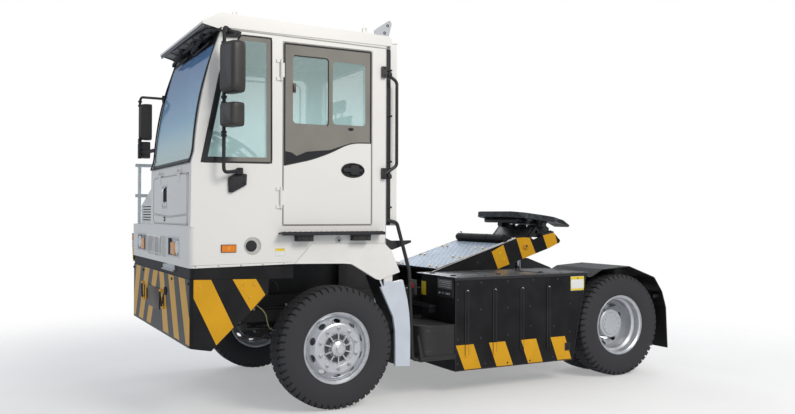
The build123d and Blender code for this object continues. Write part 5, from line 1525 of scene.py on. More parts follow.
class TRACTOR_OT_boxes(bpy.types.Operator):
    """Fit the side boxes' screws, edges, labels and controls, the steps' treads and the deck's lids"""

    bl_idname = "tractor.boxes"
    bl_label = "Boxes and steps"

    def execute(self, context):
        for name, side in SIDES:
            self.sides(name, side)
        self.controls()
        self.steps()
        self.deck()
        return {"FINISHED"}

    def sides(self, name, side):
        shell = Shell()
        x = side * BOX_FACE_X
        for y, z in BOX_SCREWS:
            shell.spun([(-1, 0), (-1, 9), (side * 2, 9), (side * 4.5, 5), (side * 5, 0)], (x, y, z),
                       (1, 0, 0), 12)
        # folded edges and the lid's lip
        shell.rod((x, 1170, 224), (x, 1170, 1062), 4, sides=8)
        shell.tube([(x, 1170, 224), (x, 2536, 224), (x, 2712, 1060)], 4, 8, 8)
        shell.slab(span(side, 1168, 1179), (1158, 2722), (1044, 1064), 2)
        # notch cover
        shell.slab(span(side, 1168, 1175), (2436, 2504), (311, 389), 3)
        shell.finish = 1
        shell.slab(span(side, 1172, 1176), (2446, 2494), (321, 379), 1)
        shell.piece(f"box_fittings_{name}", "chassis", "black_paint", "black_paint", "deep_black")
        shell = Shell()
        for y in RIB_Y:
            ring = oval(y, 934, 19, 19, 12, 13)
            shell.tube([(side * 1180, a, b) for a, b in ring], 3.4, 8)
            # painted highlight: a short lighter arc on top of each rib
            shell.finish = 1
            shell.tube([(side * 1181, a, b) for a, b in ring[3:7]], 3.6, 8)
            shell.finish = 0
            for across in (-18, 18):
                shell.rod((side * 1179, y + across, 360), (side * 1179, y + across, 934), 2, sides=6)
        shell.piece(f"box_rib_edges_{name}", "chassis", "black_paint", "rib_edge", "white_trim")
        shell = Shell()
        shell.slab(span(side, 1171, 1173.5), (2512, 2682), (897, 1037), 0.5)
        shell.finish = 1
        edge = span(side, 1172, 1174.5)
        for z in ((1006, 1035), (899, 916)):
            shell.slab(edge, (2514, 2680), z, 0.5)
        for y in (2514, 2675):
            shell.slab(edge, (y, y + 5), (916, 1006))
        shell.piece(f"blank_label_{name}", "chassis", "black_paint", "label_white", "label_yellow")

    def controls(self):
        """Isolator knob, blank yellow label, control panel and ledge on the left box's front face."""
        shell = Shell()
        y = 1165
        shell.slab((300, 470), (y - 12, y + 1), (850, 1000), 4)
        shell.piece("isolator_plate", "chassis", "black_paint", "grey_plastic")
        shell = Shell()
        shell.spun([(2, 0), (2, 44), (-6, 46), (-14, 40), (-14, 0)], (385, y - 12, 925), (0, 1, 0), 32)
        shell.slab((365, 405), (y - 52, y - 22), (880, 970), 8, rotation(24, "Y"))
        shell.piece("isolator_knob", "chassis", "black_paint", "red_plastic")
        shell = Shell()
        shell.slab((560, 645), (y - 2, y + 0.5), (868, 1000), 0.8)
        shell.piece("blank_label_box", "chassis", "black_paint", "label_yellow")
        shell = Shell()
        shell.slab((872, 1152), (y - 14, y + 1), (880, 1064), 8)
        shell.finish = 1
        shell.slab((892, 1132), (y - 17, y - 12), (960, 1046), 4)
        for x in (930, 985, 1040, 1095):
            shell.rod((x, y - 13, 918), (x, y - 26, 918), 13, 11, 20, 2)
        shell.finish = 2
        for z in (978, 996, 1014, 1030):
            shell.rod((912, y - 17, z), (1112, y - 17, z), 1.6, sides=6)
        for x in (940, 1085):
            shell.rod((x, y - 24, 918), (x, y - 30, 918), 5, sides=12)
        shell.piece("control_panel", "chassis", "black_paint", "black_plastic", "grey_plastic", "label_white")
        shell = Shell()
        shell.slab((300, 860), (y - 80, y + 1), (776, 788), 3)
        shell.slab((300, 860), (y - 84, y - 78), (770, 806), 2)
        for x in (340, 820):
            shell.prism([(x - 3, 776), (x + 3, 776), (x + 3, 720), (x - 3, 720)], "Y", y - 70, y + 1)
        shell.piece("box_ledge", "chassis", "black_paint", "black_paint")

    def steps(self):
        """Studs and rims on the tank step; bars, edges and a brace on the lower step."""
        shell = Shell()
        for row in range(11):
            for column in range(17):
                x = 668 + column * 29 + (row % 2) * 14
                y = 830 + row * 30
                if x < 1150 and (y > 900 or 740 < x < 1070):
                    shell.rod((x, y, 644), (x, y, 648.5), 9, 5, 8)
        rim = [(640, 1163), (640, 912), (652, 862), (690, 815), (750, 800), (1055, 800), (1115, 815),
               (1153, 862),
               (1165, 912), (1165, 1163)]
        for z in (645, 606, 420):
            shell.tube([(x, y, z) for x, y in rim], 4.5, 8, 20)
        shell.piece("tank_step_tread", "chassis", "black_plastic", "step_black")
        shell = Shell()
        for index in range(16):
            x = 772 + index * 25.4
            shell.slab((x, x + 9), (790, 812), (374, 386), 2)
        for y in (800, 796):
            shell.rod((760, y, 372), (1175, y, 372), 4, sides=8)
        shell.tube([(1171, 804, 380), (1171, 778, 575)], 7, 8)
        shell.slab((1164, 1178), (796, 1166), (352, 366), 2)
        shell.piece("lower_step_grip", "chassis", "black_plastic", "step_black")

    def deck(self):
        """Bolt rows, lift-out lids with their hinges and rings on both deck plates."""
        shell = Shell()
        for _, side in SIDES:
            for y in range(1200, 2720, 150):
                for x in (1160, 500):
                    shell.spun([(-1, 0), (-1, 9), (3, 9), (5, 5), (5, 0)], (side * x, y, 1075), (0, 0, 1), 14)
            for low, high in ((1230, 1690), (1740, 2200), (2250, 2680)):
                outline = [(540, low), (1120, low), (1120, high), (540, high)]
                for (x0, y0), (x1, y1) in looped(outline):
                    shell.rod((side * x0, y0, 1075), (side * x1, y1, 1075), 2.6, sides=6)
                for x in (640, 1020):
                    shell.rod((side * x, low - 16, 1080), (side * x, low + 36, 1080), 7, sides=10)
                shell.slab(span(side, 800, 870), (high - 50, high - 26), (1074, 1081), 3)
        shell.piece("deck_fittings", "chassis", "black_paint", "rib_edge")


class TRACTOR_OT_boom_fittings(bpy.types.Operator):
    """Fit bolts, edge strips, pin bosses, the stop bar's pads and lug, and the web to the lift boom"""

    bl_idname = "tractor.boom_fittings"
    bl_label = "Boom"

    def execute(self, context):
        up = BOOM.to_3x3() @ Vector((0, 0, 1))
        shell = Shell()
        for along in (102, 394, 693):
            for x in (-424, -326, 258, 388):
                point = on_boom(x, along, 128)
                shell.spun([(-1, 0), (-1, 19), (3, 19), (4, 15), (4, 0)], point, up, 18)
                shell.rod(point, point + up * 12, 12, 11, 6)
        shell.piece("boom_plate_bolts", "lift_boom", "tread_aluminium", "bolt_brass")
        shell = Shell()
        for _, side in SIDES:
            shell.tube([on_boom(side * 448, 60, 128), on_boom(side * 448, 1080, 128)], 3.5, 8)
            shell.rod(on_boom(side * 449, 6, 113), on_boom(side * 449, 1082, 120), 3, sides=8)
        shell.piece("boom_plate_edges", "lift_boom", "tread_aluminium", "tread_aluminium_edge")
        shell = Shell()
        for _, side in SIDES:
            out = Vector((side, 0, 0))
            for along, across, radius in ((0, 0, 46), (1182, 2, 40)):
                point = on_boom(side * 450, along, across)
                shell.spun([(-1, 0), (-1, radius), (side * 6, radius), (side * 9, radius - 5), (side * 9, 0)],
                           point,
                           (1, 0, 0), 36)
                shell.rod(point + out * 8, point + out * 16, 17, 15, 24, 2)
                for turn in (30, 150, 270):
                    angle = math.radians(turn)
                    bolt = on_boom(side * 458, along + 30 * math.cos(angle), across + 30 * math.sin(angle))
                    shell.bolt(bolt, out, 4.5, 5)
        shell.finish = 1
        for _, side in SIDES:
            out = Vector((side, 0, 0))
            for along, across in ((843, 34), (871, -50)):
                shell.bolt(on_boom(side * 449, along, across), out, 8, 7)
            shell.finish = 2
            shell.bolt(on_boom(side * 449, 549, 28), out, 7, 7)
            shell.rod(on_boom(side * 458, 1182, 2), on_boom(side * 468, 1182, 2), 15, 13, 20, 2)
            shell.finish = 1
        shell.piece("boom_pin_bosses", "lift_boom", "black_paint", "boom_paint", "label_yellow", "jaw_steel")
        shell = Shell()
        # pads on the stop bar, with a lifting lug at its far end
        for x in (-300, 0, 300):
            shell.tube([on_boom(x - 140, 945, 163), on_boom(x + 140, 945, 163)], 39.5, 28)
        for x in (-330, -170, 170, 330):
            shell.tube([on_boom(x, 900, 140), on_boom(x, 925, 192), on_boom(x, 965, 192),
                        on_boom(x, 990, 140)], 5, 8, 18)
        shell.piece("stop_bar_pads", "lift_boom", "black_plastic", "seal_rubber")
        shell = Shell()
        shell.tube([on_boom(-395, 930, 196), on_boom(-395, 930, 216), on_boom(-395, 966, 216),
                    on_boom(-395, 966, 196)],
                   6, 8, 10)
        shell.piece("stop_bar_lug", "lift_boom", "black_paint", "bolt_zinc")
        shell = Shell()
        # welds along the pedestal's feet, nuts on the base plate
        for x in (-320, 320):
            for edge in (-27, 27):
                points = [on_boom(x + edge, along, across) for along,
                          across in ((1300, 40), (1427, 46), (1586, 44))]
                shell.tube(points, 5, 6, 20)
        for x in (-430, -395, -150, 150, 395, 430):
            for along, across in ((1450, 55), (1565, 43)):
                shell.bolt(on_boom(x, along, across), up, 9, 12)
        for _, side in SIDES:
            shell.rod(on_boom(side * 395, 1510, 133), on_boom(side * 416, 1510, 133), 34, 30, 28, 3)
        # sloping web between the side plates
        web = [on_boom(0, along, across) for along,
               across in ((1300, 44), (1330, 44), (1456, 120), (1424, 130))]
        shell.prism([(point.y, point.z) for point in web], "X", -298, 298, 2)
        # saddle blocks under the trunnion's middle
        block = [on_boom(0, along, across) for along,
                 across in ((1478, 84), (1542, 84), (1538, 129), (1482, 129))]
        for x in (-200, 0, 200):
            shell.prism([(point.y, point.z) for point in block], "X", x - 60, x + 60, 3)
        shell.piece("bracket_fittings", "lift_boom", "black_paint", "bracket_black")
        return {"FINISHED"}


class TRACTOR_OT_coupling(bpy.types.Operator):
    """Fit the fifth wheel's wear ridges, jaw, release handle with its spring, and jaw housing"""

    bl_idname = "tractor.coupling"
    bl_label = "Coupling"

    def execute(self, context):
        up = PLATE.to_3x3() @ Vector((0, 0, 1))
        shell = Shell()
        top = 100.6
        # wear rings and ridges on the deck
        for radius in (120, 205, 290):
            points = []
            for step in range(29):
                turn = math.radians(-210 + step * 240 / 28)
                y = radius * math.sin(turn) * -1.0
                points.append(on_plate(radius * math.cos(turn), min(y, 240) - 60, top - 1.4))
            shell.tube([p for p in points if (PLATE.inverted() @ p).y > -330], 3.6, 6)
        for side in (1, -1):
            shell.tube([on_plate(side * 408, -270, top - 2), on_plate(side * 440, -60, top - 2),
                        on_plate(side * 424, 100, top - 2), on_plate(side * 370, 200, top - 2),
                        on_plate(side * 236, 282, top - 2)], 6, 8, 40)
        shell.tube([on_plate(x, y, top - 2) for x,
                    y in ((-408, -270), (-304, -372), (304, -372), (408, -270))],
                   6, 8, 40)
        shell.piece("coupling_ridges", "fifth_wheel", "cast_iron", "cast_iron")
        shell = Shell()
        # jaw halves round the pin's bore and the pivot pins' heads
        for side in (1, -1):
            ring = []
            for step in range(15):
                turn = math.radians(-84 + step * 12)
                ring.append(on_plate(side * 36 * math.cos(turn), 36 * math.sin(turn), 52))
            shell.tube(ring, 9, 10)
            for y in (-110, 120):
                at = on_plate(side * 150, y, top - 3)
                shell.spun([(-1, 0), (-1, 24), (3.4, 24), (4.4, 18), (2, 15), (2, 0)], at, up, 28)
        shell.piece("coupling_jaw", "fifth_wheel", "cast_iron", "jaw_steel")
        shell = Shell()
        # release handle on the left side, with its hook, spring and locking lever
        start = on_plate(150, -170, 28)
        shell.tube([start, on_plate(330, -170, 28), on_plate(432, -176, 26),
                    on_plate(448, -214, 26), on_plate(432, -246, 26), on_plate(405, -240, 26)],
                   8, 10, 30)
        coil = []
        for step in range(60):
            turn = math.radians(step * 60)
            at = Vector((200 + step * 2.2, -170 + 15 * math.cos(turn), 28 + 15 * math.sin(turn)))
            coil.append(PLATE @ at)
        shell.tube(coil, 2.6, 6)
        for x in (175, 345):
            shell.prism([(x - 4, -196), (x + 4, -196), (x + 4, -144), (x - 4, -144)], "Z", 0, 40)
            last = list(shell.mesh.verts)[-8:]
            bmesh.ops.transform(shell.mesh, matrix=PLATE @ Matrix.Translation((0, 0, 8)), verts=last)
        shell.piece("release_handle", "fifth_wheel", "cast_iron", "jaw_steel")
        shell = Shell()
        # jaw housing under the deck, its cross bar and stiffeners
        shell.slab((-212, 212), (-262, 190), (16, 57), 6, PLATE)
        shell.slab((-290, 290), (-300, -262), (24, 57), 4, PLATE)
        for x in (-260, 260):
            shell.slab(about(x, 7), (-262, 120), (22, 57), 2, PLATE)
        shell.finish = 1
        shell.tube([on_plate(-300, -286, 20), on_plate(300, -286, 20)], 15, 16)
        shell.piece("jaw_housing", "fifth_wheel", "cast_iron", "bracket_black", "jaw_steel")
        return {"FINISHED"}


class TRACTOR_OT_tail(bpy.types.Operator):
    """Fit rear lamps, the plate holder, the fenders' edges and inner walls, and the trailer sockets"""

    bl_idname = "tractor.tail"
    bl_label = "Rear"

    def execute(self, context):
        shell = Shell()
        for _, side in SIDES:
            for x, lens in ((330, 3), (430, 1), (530, 2)):
                at = (side * x, 3688, 715)
                shell.finish = 0
                shell.spun([(-8, 41), (3, 41), (5, 38), (3, 34), (-8, 34)], at, (0, 1, 0), 36)
                shell.finish = lens
                shell.spun([(0, 0), (0, 34), (4, 33), (9, 20), (10, 0)], at, (0, 1, 0), 36)
                for ring in (10, 19, 28):
                    shell.spun([(6, ring - 1.5), (10.5 - ring * 0.12, ring), (6, ring + 1.5)], at, (0, 1, 0),
                               28)
        shell.piece("rear_lamps", "chassis", "lamp_lens", "seal_rubber", "red_lens", "amber_lens",
                    "clear_lens")
        shell = Shell()
        shell.slab((-262, 262), (3651, 3657), (640, 752), 1.5)
        shell.finish = 1
        for x in (-258, 258):
            shell.rod((x, 3658, 644), (x, 3658, 748), 3, sides=8)
        for z in (643, 749):
            shell.rod((-258, 3658, z), (258, 3658, z), 3, sides=8)
        shell.piece("rear_plate_holder", "chassis", "black_paint", "label_white", "black_plastic")
        shell = Shell()
        top = [(2720, 1033), (2748, 1033), (2894, 1101), (3257, 1122), (3614, 996), (3725, 843), (3781, 674),
               (3804, 250)]
        for _, side in SIDES:
            for x in (502, 1198):
                shell.tube([(side * x, y, z - 4) for y, z in top], 5, 8, 14)
            shell.rod((side * 502, 3803, 250), (side * 1198, 3803, 250), 5, sides=8)
            for y, z in ((2800, 1052), (3180, 1115), (3520, 1030), (3755, 760)):
                for x in (560, 1140):
                    nose = Vector((0, 0.35, 1)) if y > 3300 else Vector((0, -0.1, 1))
                    shell.bolt((side * x, y, z), nose, 7, 7)
        # inner walls that close the fenders towards the frame
        arc = [(2752, 900), (2752, 1030), (2894, 1096), (3257, 1117), (3610, 992), (3716, 845), (3600, 845),
               (3540, 900)]
        for _, side in SIDES:
            shell.prism(arc, "X", *span(side, 503, 509))
        shell.piece("fender_edges", "chassis", "black_paint", "fender_black")
        shell = Shell()
        # air and electrical couplings behind the cab, on their plate
        shell.slab((-420, -180), (622, 634), (1190, 1340), 4)
        shell.tube([(-300, 628, 1190), (-300, 628, 930)], 16, 12)
        shell.finish = 1
        for x in (-380, -340):
            shell.rod((x, 634, 1290), (x, 668, 1290), 17, 14, 20, 3)
            shell.rod((x, 668, 1290), (x, 676, 1290), 20, 20, 20, 2)
        shell.finish = 2
        for x in (-290, -225):
            shell.rod((x, 634, 1270), (x, 680, 1262), 28, 28, 28, 4)
            shell.slab(about(x, 32), (680, 686), (1232, 1300), 4)
        shell.piece("trailer_sockets", "chassis", "black_paint", "black_paint", "red_plastic",
                    "black_plastic")
        return {"FINISHED"}


# ---- inside the cab ----------------------------------------------------------------------------
SEAT_X = 430
SEAT_LEAN = -6.5
AWAY = 400  # a distance at which no seam is felt


def settled(made):
    """The object's mesh with its modifiers applied."""
    graph = bpy.context.evaluated_depsgraph_get()
    fresh = bpy.data.meshes.new_from_object(made.evaluated_get(graph))
    made.modifiers.clear()
    old = made.data
    made.data = fresh
    fresh.name = old.name
    bpy.data.meshes.remove(old)


def remeshed(made, size):
    """Even small faces over a closed form, which cloth needs."""
    modifier = made.modifiers.new("even", "REMESH")
    modifier.mode = "VOXEL"
    modifier.voxel_size = size
    modifier.use_smooth_shade = True
    settled(made)


def puffed(made, cap, pressure=4.0):
    """Blow a remeshed pad up as cloth; no point moves further than cap millimetres."""
    start = [vert.co.copy() for vert in made.data.vertices]
    cloth = made.modifiers.new("cloth", "CLOTH")
    cloth.settings.quality = 4
    cloth.settings.mass = 0.25
    cloth.settings.tension_stiffness = 12
    cloth.settings.compression_stiffness = 12
    cloth.settings.bending_stiffness = 0.4
    cloth.settings.use_pressure = True
    cloth.settings.uniform_pressure_force = pressure
    cloth.settings.effector_weights.gravity = 0
    cloth.collision_settings.use_collision = False
    cloth.point_cache.frame_start = 1
    cloth.point_cache.frame_end = 20
    for count in range(1, 21):
        bpy.context.scene.frame_set(count)
    settled(made)
    bpy.context.scene.frame_set(1)
    for vert, before in zip(made.data.vertices, start):
        moved = vert.co - before
        if moved.length > cap / 1000:
            vert.co = before + moved.normalized() * (cap / 1000)


def sewn(made, lines, width, depth):
    """Press seams into a pad: each line is a function from a datum point to its distance in millimetres."""
    back = FROM_DATUM.inverted()
    normals = [vert.normal.copy() for vert in made.data.vertices]
    for vert, normal in zip(made.data.vertices, normals):
        point = back @ vert.co
        press = max(math.exp(-((line(point) / width) ** 2)) for line in lines)
        vert.co -= normal * press * depth / 1000


def seams(half, axis, *places):
    """Seams for sewn(): one along each side of a pad's middle, and one across it at each place."""
    lines = [lambda point: abs(abs(point.x - SEAT_X) - half)]
    for place in places:
        lines.append(
            lambda point, place=place: getattr(point, axis) - place if abs(point.x - SEAT_X) < half else AWAY
        )
    return lines


class TRACTOR_OT_seat(bpy.types.Operator):
    """Upholster the driver's seat: cushion, backrest, headrest and armrest on their shell and suspension"""

    bl_idname = "tractor.seat"
    bl_label = "Seat"

    def execute(self, context):
        self.fabric()  # not worn: the pads take the frame model's plain material of the same name
        lean = rotation(SEAT_LEAN, "X")
        pads = []
        for name, half_width, y, z, round_by, turn in (
            ("seat_cushion", 238, (-168, 288), (1988, 2066), 34, None),
            ("seat_backrest", 225, (256, 322), (2090, 2560), 30, lean),
            ("seat_headrest", 130, (304, 362), (2590, 2715), 26, lean),
        ):
            block = Shell()
            block.slab(about(SEAT_X, half_width), y, z, round_by, turn)
            pads.append(block.piece(name, "chassis", "seat_fabric", "seat_fabric"))
        cushion, backrest, headrest = pads
        for pad, size, cap in zip(pads, (0.006, 0.006, 0.005), (14, 13, 9)):
            remeshed(pad, size)
            puffed(pad, cap)
        sewn(cushion, seams(150, "y", -70, 60), 7, 6)
        sewn(backrest, seams(140, "z", 2230, 2400), 7, 6)
        sewn(headrest, seams(88, "z"), 6, 4)
        for pad in pads:
            smooth = pad.modifiers.new("smooth", "SUBSURF")
            smooth.levels = smooth.render_levels = 1
        base = Shell()
        base.prism([(-180, 1962), (-196, 1986), (-180, 1996), (300, 1996), (320, 1980), (290, 1962)], "X",
                   SEAT_X - 246, SEAT_X + 246, 6)
        base.slab(about(SEAT_X, 218), (334, 352), (2085, 2560), 8, lean)
        for x in about(SEAT_X, 70):
            base.tube([(x, 330, 2540), (x, 340, 2620)], 7, 10)
        base.slab(about(SEAT_X, 225), (-145, 265), (1586, 1626), 8)
        for index in range(7):
            z = 1650 + index * 42
            base.prism([(-120, z), (250, z), (262, z + 18), (250, z + 36), (-120, z + 36), (-132, z + 18)],
                       "X",
                       SEAT_X - 190, SEAT_X + 190, 5)
        base.slab(about(SEAT_X, 215), (-140, 262), (1935, 1964), 8)
        for side in (1, -1):
            base.slab(sorted((SEAT_X + side * 226, SEAT_X + side * 246)), (255, 318), (2010, 2110), 7)
            arm = sorted((SEAT_X + side * 206, SEAT_X + side * 248))
            base.slab(arm, (-40, 270), (2188, 2222), 12)
            base.tube([(SEAT_X + side * 236, 300, 2080), (SEAT_X + side * 236, 268, 2190)], 12, 12)
        base = base.piece("seat_base", "chassis", "black_plastic", "black_plastic")
        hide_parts("driver_seat")
        return {"FINISHED"}

    def fabric(self):
        """Woven seat cloth: dark bolsters and a lighter ribbed middle."""
        finish = Finish("seat_fabric")
        across = (finish.x - SEAT_X).abs()
        warp = finish.x.wave(2.4) * 0.5 + 0.5
        weft = (finish.y + finish.z).wave(2.4) * 0.5 + 0.5
        ribs = (finish.y + finish.z).wave(16) * 0.5 + 0.5
        middle = across < 146.0
        weave = warp * weft
        cloth = finish.mix(ribs * middle, (0.050, 0.056, 0.066), (0.105, 0.115, 0.135))
        tone = finish.mix(weave * 0.4, cloth, (0.17, 0.18, 0.20))
        tone = finish.mix(finish.noise(70, 3.0).step(0.55, 0.8) * 0.3, tone, (0.13, 0.125, 0.115))
        finish.set(
            Base_Color=tone, Roughness=weave * 0.15 + 0.8, Sheen_Weight=0.35, Sheen_Roughness=0.5,
            Normal=finish.bump(weave, 0.5, 0.6, below=finish.bump(ribs * middle, 1.6, 0.5)),
        )


class TRACTOR_OT_cab_inside(bpy.types.Operator):
    """Fit the binnacle, switches, pedals, levers, the wheel's grip, the headlining and the floor mat"""

    bl_idname = "tractor.cab_inside"
    bl_label = "Cab inside"

    def execute(self, context):
        shell = Shell()
        # binnacle and column shroud in front of the driver
        hood = [(-1010, 2090), (-880, 2120), (-862, 2230), (-900, 2262), (-1050, 2200)]
        shell.prism(hood, "X", *about(SEAT_X, 210), 14)
        shell.prism([(-930, 1960), (-820, 1985), (-700, 2200), (-745, 2222), (-850, 2080)], "X", SEAT_X - 55,
                    SEAT_X + 55, 12)
        shell.slab((-260, 60), (-1010, -880), (2108, 2150), 12)
        shell.slab((760, 1110), (-1010, -890), (2100, 2138), 12)
        shell.slab((640, 780), (-60, 380), (1590, 2010), 18)
        shell.finish = 1
        for x in about(SEAT_X, 110):
            shell.spun([(0, 0), (0, 62), (6, 66), (8, 58), (3, 54), (3, 0)], (x, -872, 2180), (0, 1, -0.15),
                       36)
        shell.slab(about(SEAT_X, 34), (-872, -864), (2150, 2215), 3)
        for index in range(9):
            x = -240 + index * 34
            shell.slab((x, x + 24), (-888, -876), (2112, 2140), 3)
        shell.finish = 2
        shell.tube([(710, 40, 2000), (712, 10, 2110), (700, -20, 2160)], 9, 12, 30)
        shell.spun([(-22, 0), (-20, 16), (0, 24), (18, 18), (24, 0)], (699, -24, 2172), (0, -0.3, 1), 24)
        for side in (1, -1):
            shell.tube([(SEAT_X + side * 40, -770, 2165), (SEAT_X + side * 190, -745, 2195)], 7, 10)
            shell.rod((SEAT_X + side * 170, -749, 2191), (SEAT_X + side * 215, -741, 2200), 11, 8, 14, 2)
        for x, wide in ((SEAT_X + 110, 34), (SEAT_X - 30, 46), (SEAT_X - 170, 46)):
            shell.slab((x - wide, x + wide), (-905, -893), (1700, 1800), 5, rotation(35, "X"))
            shell.tube([(x, -895, 1760), (x, -990, 1850)], 9, 10)
        shell.piece("dash_fittings", "chassis", "black_plastic", "grey_plastic", "deep_black",
                    "black_plastic")
        shell = Shell()
        # grip round the wheel's rim, and the boss cap
        axis = Vector((0, 0.5, 0.87)).normalized()
        centre = Vector((SEAT_X, -675, 2240))
        grip = []
        for step in range(12):
            turn = 2 * math.pi * step / 12
            grip.append((15.5 * math.sin(turn), 220 + 15.5 * math.cos(turn)))
        shell.spun(grip, centre, axis, 64)
        shell.spun([(18, 0), (18, 62), (26, 60), (34, 40), (36, 0)], centre, axis, 36)
        shell.piece("wheel_grip", "chassis", "black_plastic", "black_plastic")
        shell = Shell()
        # headlining with its ribs, sun blind and rear shelf
        shell.slab((-270, 1130), (-980, 400), (3074, 3104), 14)
        shell.slab((-240, 1100), (-1010, -985), (2960, 3060), 8)
        for y in (-700, -300, 100):
            shell.slab((-250, 1110), (y, y + 30), (3062, 3078), 5)
        shell.slab((-265, 1125), (320, 404), (1590, 1960), 16)
        shell.piece("cab_lining", "chassis", "grey_plastic", "lining")
        shell = Shell()
        shell.slab((-270, 1130), (-1190, 310), (1585, 1591), 2)
        for index in range(28):
            shell.rod((-250, -1150 + index * 50, 1591), (1110, -1150 + index * 50, 1591), 3, sides=6)
        shell.piece("floor_mat", "chassis", "black_plastic", "mat_rubber")
        return {"FINISHED"}


class TRACTOR_OT_under(bpy.types.Operator):
    """Fit springs' bolts, brake chambers, air tanks, pipes, the steering box and the washer bottle"""

    bl_idname = "tractor.under"
    bl_label = "Underside"

    def execute(self, context):
        shell = Shell()
        for _, side in SIDES:
            for y in (-70, 70):
                x = side * 430
                shell.tube([(x - 34, y, 392), (x - 34, y, 640), (x + 34, y, 640), (x + 34, y, 392)], 9, 10,
                           20)
                for dx in (-34, 34):
                    shell.bolt((x + dx, y, 398), (0, 0, -1), 13, 20)
            # spring eyes' bolts
            for y in (-560, 560):
                shell.bolt((side * 474, y, 560), (side, 0, 0), 13, 12)
        shell.piece("spring_bolts", "chassis", "chassis_paint", "chassis_paint")
        shell = Shell()
        for _, side in SIDES:
            can = [(-60, 0), (-60, 38), (-50, 56), (-6, 60), (-4, 65), (6, 65), (8, 60), (42, 55), (50, 36),
                   (52, 0)]
            shell.spun(can, (side * 560, -250, 560), (0, 1, 0.1), 36)
            shell.tube([(side * 560, -200, 566), (side * 600, -90, 560)], 10, 10)
            shell.spun(can, (side * 560, WHEELBASE - 320, 640), (0, 1, 0), 36)
            shell.spun([(a - 130, r) for a, r in can], (side * 560, WHEELBASE - 320, 640), (0, 1, 0), 36)
            shell.tube([(side * 560, WHEELBASE - 262, 640), (side * 590, WHEELBASE - 120, 600)], 11, 10)
        shell.piece("brake_chambers", "chassis", "chassis_paint", "chassis_paint")
        shell = Shell()
        # two air tanks across the frame
        for x, y in ((0, 1120), (0, 1980)):
            tank = [(-300, 0), (-296, 60), (-270, 104), (-240, 116), (240, 116), (270, 104), (296, 60),
                    (300, 0)]
            shell.spun(tank, (x, y, 520), (1, 0, 0), 44)
            for strap in (-180, 180):
                shell.spun([(-14, 116), (-14, 120), (14, 120), (14, 116)], (x + strap, y, 520), (1, 0, 0), 44)
                shell.slab((strap - 14, strap + 14), about(y, 8), (630, 690), 3)
        shell.piece("air_tanks", "chassis", "chassis_paint", "chassis_paint")
        shell = Shell()
        # rigid pipes clipped along the frame beside the front wheel
        shell.tube([(520, -600, 900), (540, -520, 860), (560, -420, 780), (570, -400, 640), (560, -330, 610)],
                   5, 10, 60)
        shell.finish = 1
        shell.tube([(440, -640, 560), (480, -400, 540), (540, -320, 545)], 9, 10, 60)
        shell.tube([(470, -880, 1180), (520, -560, 1110), (560, -330, 1060), (560, -300, 960)], 7, 10, 60)
        shell.tube([(446, -620, 800), (446, 400, 800), (446, 2600, 800)], 8, 10)
        shell.tube([(446, -620, 826), (446, 2600, 826)], 6, 10)
        shell.finish = 2
        for y in range(-500, 2500, 300):
            shell.slab((436, 460), (y, y + 18), (788, 838), 3)
        for y, z in ((-700, 860), (-640, 700), (-560, 980), (-880, 760)):
            shell.bolt((472, y, z), (1, 0, 0), 12, 12)
        shell.piece("frame_pipes", "chassis", "black_paint", "tube_brass", "hose_black", "bolt_zinc")
        shell = Shell()
        # steering box on the left rail, and the washer bottle
        shell.slab((455, 560), (-900, -700), (700, 880), 22)
        shell.rod((507, -700, 790), (507, -640, 790), 34, 30, 28, 5)
        shell.slab((470, 620), (-1040, -940), (860, 1080), 24)
        shell.finish = 1
        shell.rod((545, -990, 1080), (545, -990, 1100), 30, 30, 28, 4)
        shell.piece("steering_box", "chassis", "chassis_paint", "chassis_paint", "bolt_zinc")
        return {"FINISHED"}


# ---- stage -------------------------------------------------------------------------------------
LIGHTS = (  # name, place from the datum in millimetres, side in metres, power, colour
    ("key", (9500, 2500, 7500), 4.0, 620, (1.0, 0.95, 0.88)),
    ("side", (10000, -3500, 2600), 7.0, 70, (1.0, 0.97, 0.93)),
    ("front", (-2500, -10500, 5200), 6.0, 200, (0.80, 0.89, 1.0)),
    ("rear", (-2500, 11500, 6500), 6.0, 380, (1.0, 0.99, 0.97)),
    ("far", (-9500, 5000, 4200), 5.0, 260, (0.95, 0.97, 1.0)),
)
LENS, SENSOR = 36.47, 36.0
CAMERA_AT = (7373.4, -2768.6, 1649.5)
CAMERA_TURN, CAMERA_PITCH, CAMERA_ROLL = (math.radians(value) for value in (61.726, 0.500, 0.159))


